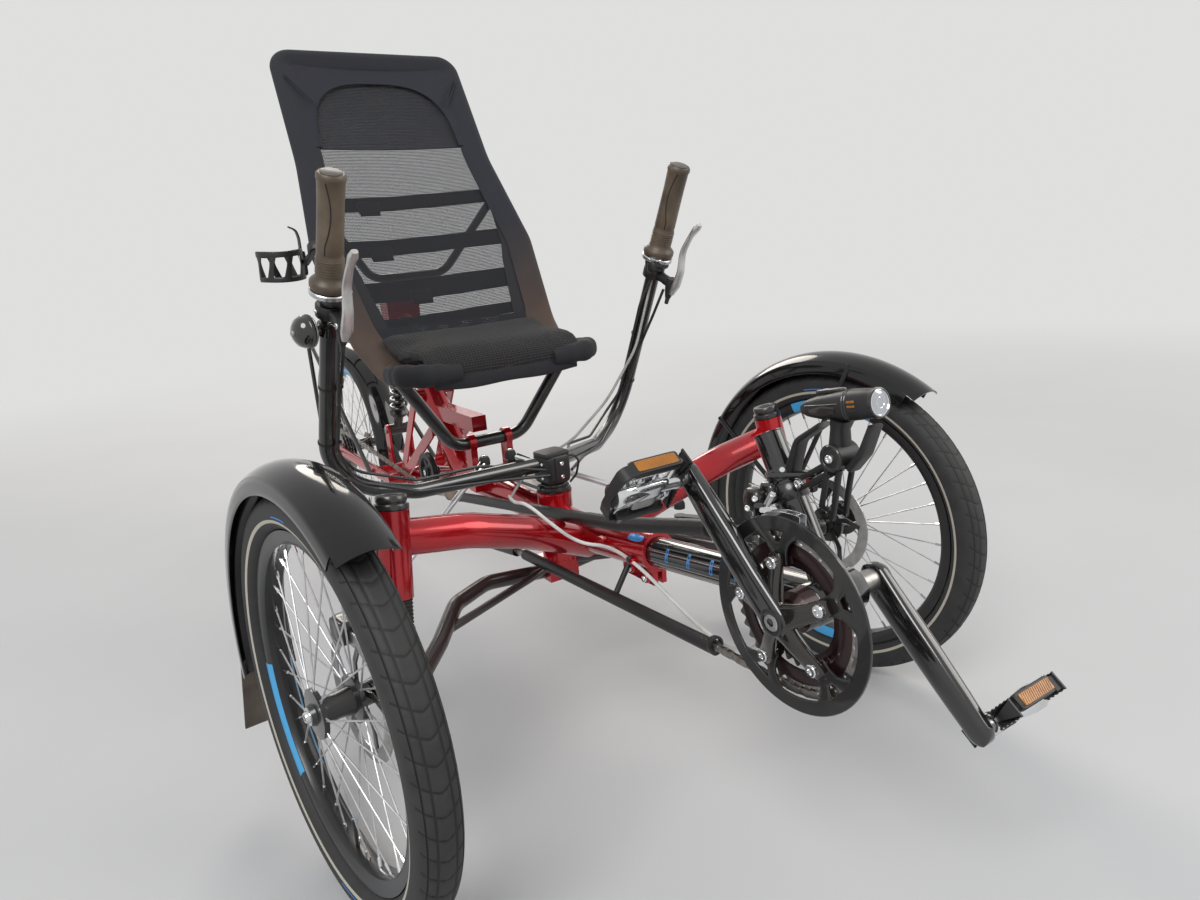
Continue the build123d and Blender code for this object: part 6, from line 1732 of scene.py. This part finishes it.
def headlamp():
    """The lamp with its bracket, and the rim of the open post below it."""
    materials = [black_plastic, satin_black, polished, lens, amber, gloss_black]
    piece("headlamp_body", lamp_shells() + bracket_shells(), materials, "frame", None, ["headlamp"], sharp=45)
    top = CRANK_AXLE + POST_DIR * 176
    cap = [
        hoop([(-2, POST_R - 0.2), (-1, POST_R + 0.5), (0.2, POST_R + 0.3), (0.6, 12.4), (-1, 12.2)], top,
             POST_DIR, 48, 0),
        lathe([(-2.4, 12.4), (-1.4, 11.8)], top, POST_DIR, 48, 1),
    ]
    piece("post_rim", cap, [gloss_black, satin_black], "frame", sharp=45)


def gear_changer():
    """Front derailleur: two curved cage plates over the big ring, alloy links and a band on the post."""
    turns = np.radians(np.linspace(46, 92, 24))
    outer = np.interp(np.degrees(turns), [46, 66, 92], [92, 100, 97])
    inner = np.interp(np.degrees(turns), [46, 66, 92], [86.5, 85.5, 86])
    outline = np.concatenate([np.stack([outer * np.cos(turns), outer * np.sin(turns)], 1),
                              np.stack([inner * np.cos(turns), inner * np.sin(turns)], 1)[::-1]])
    shells = []
    y, z = CRANK_AXLE[1:]
    for x in (RING_X + 6.5, RING_X + 15):
        middle = (90 * math.cos(1.2), 90 * math.sin(1.2))
        shells.append(plate(outline, 1.4, (x, y, z), (0, 1, 0), (0, 0, 1), None, 0.4, 0, middle))
    for turn in (50.0, 86.0):
        bridge = by_axle(turn, 96, [RING_X + 6.5, RING_X + 10, RING_X + 15])
        shells.append(bar_of(bridge, 4, 1.2, by_axle(turn, 97, bridge[:, 0]) - bridge, 0, 0.6))
    grip = CRANK_AXLE + POST_DIR * 112
    shells += [
        hoop([(-9, POST_R), (-9, 17.2), (-8, 18.2), (8, 18.2), (9, 17.2), (9, POST_R)], grip, POST_DIR, 48,
             1),
        block(grip + [-20, 8, 2], (9, 10, 12), 0.6, 2),
        block(grip + [-30, 20, -6], (9, 12, 13), 0.7, 1),
        block(grip + [-33, 8, -15], (6, 8, 9), 0.5, 2),
        block(grip + [-36, 14, -10], (1.6, 2.6, 8), 0.5, 4),
    ]
    link = np.array([grip + [-26, -2, 4], grip + [-36, 2, -12], [RING_X + 8, y + 44, z + 92]])
    shells += [
        bar_of(link, [4.5, 3.5, 5.5], [3.2, 2.6, 2.8], (0, 0, 1), 0, 0.6),
        bar_of(link + [3, 12, 1], [4.0, 3.5, 4.5], [3.2, 2.8, 2.8], (0, 0, 1), 1, 0.6),
    ]
    for at in (grip + [-37, 12, -2], grip + [-28, -4, 4], grip + [-38, 22, -14]):
        shells.append(bolt(at, (-0.8, -0.4, 0.3), 3.4, 2.6, 3))
    piece("gear_changer", shells, [alloy, satin_black, gloss_black, polished, blue_mark], "frame", None,
          ["front_derailleur"], sharp=45)


headlamp()
gear_changer()


# Cables

CABLE_PATH = [(-74.0, 210.0, 364.0), (-98.0, 150.0, 374.0), (-108.0, 86.0, 392.0), (-88.0, 51.0, 362.0),
              (-52.0, 46.0, 328.0), (-27.8, 8.0, 329.0), (-27.8, -60.0, 321.0), (-24.0, -120.0, 294.0),
              (-22.0, -185.0, 270.0), (-22.0, -250.0, 272.0), (-26.0, -298.0, 318.0), (-32.0, -296.0, 420.0)]


def pale_cable():
    """The gear cable that leaves the main tube, hangs under the boom and rises to the front derailleur."""
    data = bpy.data.curves.new("pale_gear_cable", "CURVE")
    data.dimensions = "3D"
    data.bevel_depth = 0.0025
    data.bevel_resolution = 4
    data.resolution_u = 16
    data.use_fill_caps = True
    data.materials.append(cable_white)
    points = np.array(CABLE_PATH) / 1000 + HOME
    spline = data.splines.new("NURBS")
    spline.points.add(len(points) - 1)
    spline.points.foreach_set("co", np.concatenate([points, np.ones((len(points), 1))], 1).ravel())
    spline.order_u = 3
    spline.use_endpoint_u = True
    cable = in_scene("pale_gear_cable", data)
    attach(cable, "frame")
    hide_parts("gear_cable")


def shift_cable():
    """The left shifter's grey cable: down in front of the seat, past the clamp and on to the frame."""
    top, down = bar_side(1)
    start = top + down * 190 + np.array([-8.0, -9.0, 0])
    points = np.array([start, start + down * 26, (232.0, 262.0, 545.0), (150.0, 246.0, 470.0),
                       (60.0, 226.0, 424.0), (6.0, 226.0, 408.0), (-40.0, 222.0, 388.0),
                       (-74.0, 210.0, 364.0)])
    path = evenly(rounded(points, [30, 120, 200, 120, 40, 30], 4.0), 160)
    cable = piece("shift_cable_left", [pipe(path, 2.3, 8, (0.2, 0, 1), 0)], [cable_grey], None, with_bar,
                  sharp=60)
    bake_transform(cable)


pale_cable()
shift_cable()


# Camera, light and floor

EYE = np.array([-578.6, -872.2, 738.3])         # to the rider's right and in front, looking back and down
EYE_TURNS = (31.88, 14.77, -4.53)               # yaw, pitch and roll
LENS_MM = 24.452                                # for a picture 36 mm wide
BACKDROP = (0.74, 0.74, 0.735)
SKY = (0.44, 0.46, 0.50)


def camera():
    """The photograph's camera: its axes from yaw and pitch, then rolled about the line of sight."""
    yaw, pitch, roll = np.radians(EYE_TURNS)
    look = np.array([math.sin(yaw) * math.cos(pitch), math.cos(yaw) * math.cos(pitch), -math.sin(pitch)])
    right = np.array([math.cos(yaw), -math.sin(yaw), 0.0])
    up = np.cross(right, look)
    right, up = math.cos(roll) * right + math.sin(roll) * up, -math.sin(roll) * right + math.cos(roll) * up
    data = bpy.data.cameras.new("camera")
    data.sensor_width = 36.0
    data.lens = LENS_MM
    data.clip_start = 0.01
    matrix = np.eye(4)
    matrix[:3, 0], matrix[:3, 1], matrix[:3, 2] = right, up, -look
    matrix[:3, 3] = EYE / 1000 + HOME
    eye = in_scene("camera", data)
    eye.matrix_world = Matrix(matrix.tolist())
    bpy.context.scene.camera = eye


def lamp(name, place, target, size, power, colour=(1, 1, 1)):
    """A round soft lamp that looks from its place at a target."""
    data = bpy.data.lights.new(name, "AREA")
    data.shape = "DISK"
    data.size = size
    data.energy = power
    data.color = colour
    obj = in_scene(name, data)
    obj.location = place
    obj.rotation_euler = (Vector(target) - Vector(place)).to_track_quat("-Z", "Y").to_euler()


def pale_to_camera(tree, lit, shown):
    """Mixes what the camera, mirrors and glass see with what lights the object."""
    ray = tree.nodes.new("ShaderNodeLightPath").outputs
    calc = maths(tree)
    mirrored = calc("MAXIMUM", ray["Is Glossy Ray"], ray["Is Transmission Ray"])
    mix = tree.nodes.new("ShaderNodeMix")
    mix.data_type = "RGBA"
    tree.links.new(calc("MAXIMUM", ray["Is Camera Ray"], mirrored), mix.inputs[0])
    mix.inputs[6].default_value = (*lit, 1)
    mix.inputs[7].default_value = (*shown, 1)
    return mix.outputs[2]


def ground():
    """Rings of quads about the middle; the floor's colour turns into the backdrop's with the distance."""
    angle = np.linspace(0, 2 * np.pi, 96, endpoint=False)
    ring = np.stack([np.cos(angle), np.sin(angle), 0 * angle], 1)
    points = np.concatenate([ring * radius for radius in (0.001, 3.0, 9.0, 60.0)])
    k = np.arange(96)
    after = (k + 1) % 96
    quads = np.concatenate([np.stack([k, k + 96, after + 96, after], 1) + 96 * r for r in range(3)])
    mesh = bpy.data.meshes.new("floor")
    mesh.from_pydata(points.tolist(), [], quads.tolist())
    material = finish("floor", (0.56, 0.56, 0.555), (0.54, 0.54, 0.535), (0.8, 0.9), scale=1.5, fine=60.0,
                      bump=0.02)
    mesh.materials.append(material)
    nodes, links = material.node_tree.nodes, material.node_tree.links
    place = nodes.new("ShaderNodeTexCoord")
    length = nodes.new("ShaderNodeVectorMath")
    length.operation = "LENGTH"
    links.new(place.outputs["Object"], length.inputs[0])
    far = nodes.new("ShaderNodeMapRange")
    far.interpolation_type = "SMOOTHSTEP"
    preset(far, From_Min=1.6, From_Max=5.0)
    links.new(length.outputs["Value"], far.inputs["Value"])
    pale = nodes.new("ShaderNodeEmission")
    preset(pale, Color=(*BACKDROP, 1))
    blend = nodes.new("ShaderNodeMixShader")
    links.new(far.outputs["Result"], blend.inputs[0])
    links.new(shader_of(material).outputs[0], blend.inputs[1])
    links.new(pale.outputs[0], blend.inputs[2])
    links.new(blend.outputs[0], nodes["Material Output"].inputs["Surface"])
    floor = in_scene("floor", mesh)


def studio():
    """A pale world, a pale floor that runs out of sight and three soft lamps."""
    world = bpy.data.worlds.new("world")
    bpy.context.scene.world = world
    world.use_nodes = True
    tree = world.node_tree
    background = tree.nodes["Background"]
    tree.links.new(pale_to_camera(tree, SKY, BACKDROP), background.inputs["Color"])
    preset(background, Strength=1.0)
    bpy.context.scene.view_settings.view_transform = "Standard"
    ground()
    lamp("key", (-3.4, -3.0, 4.6), (0, 0, 0.4), 3.4, 210)
    lamp("fill", (3.8, -3.0, 3.0), (0, 0, 0.4), 3.4, 95, (1.0, 0.97, 0.92))
    lamp("rim", (1.5, 4.4, 3.4), (0, 0, 0.5), 3.0, 130, (1.0, 0.93, 0.84))


camera()
studio()
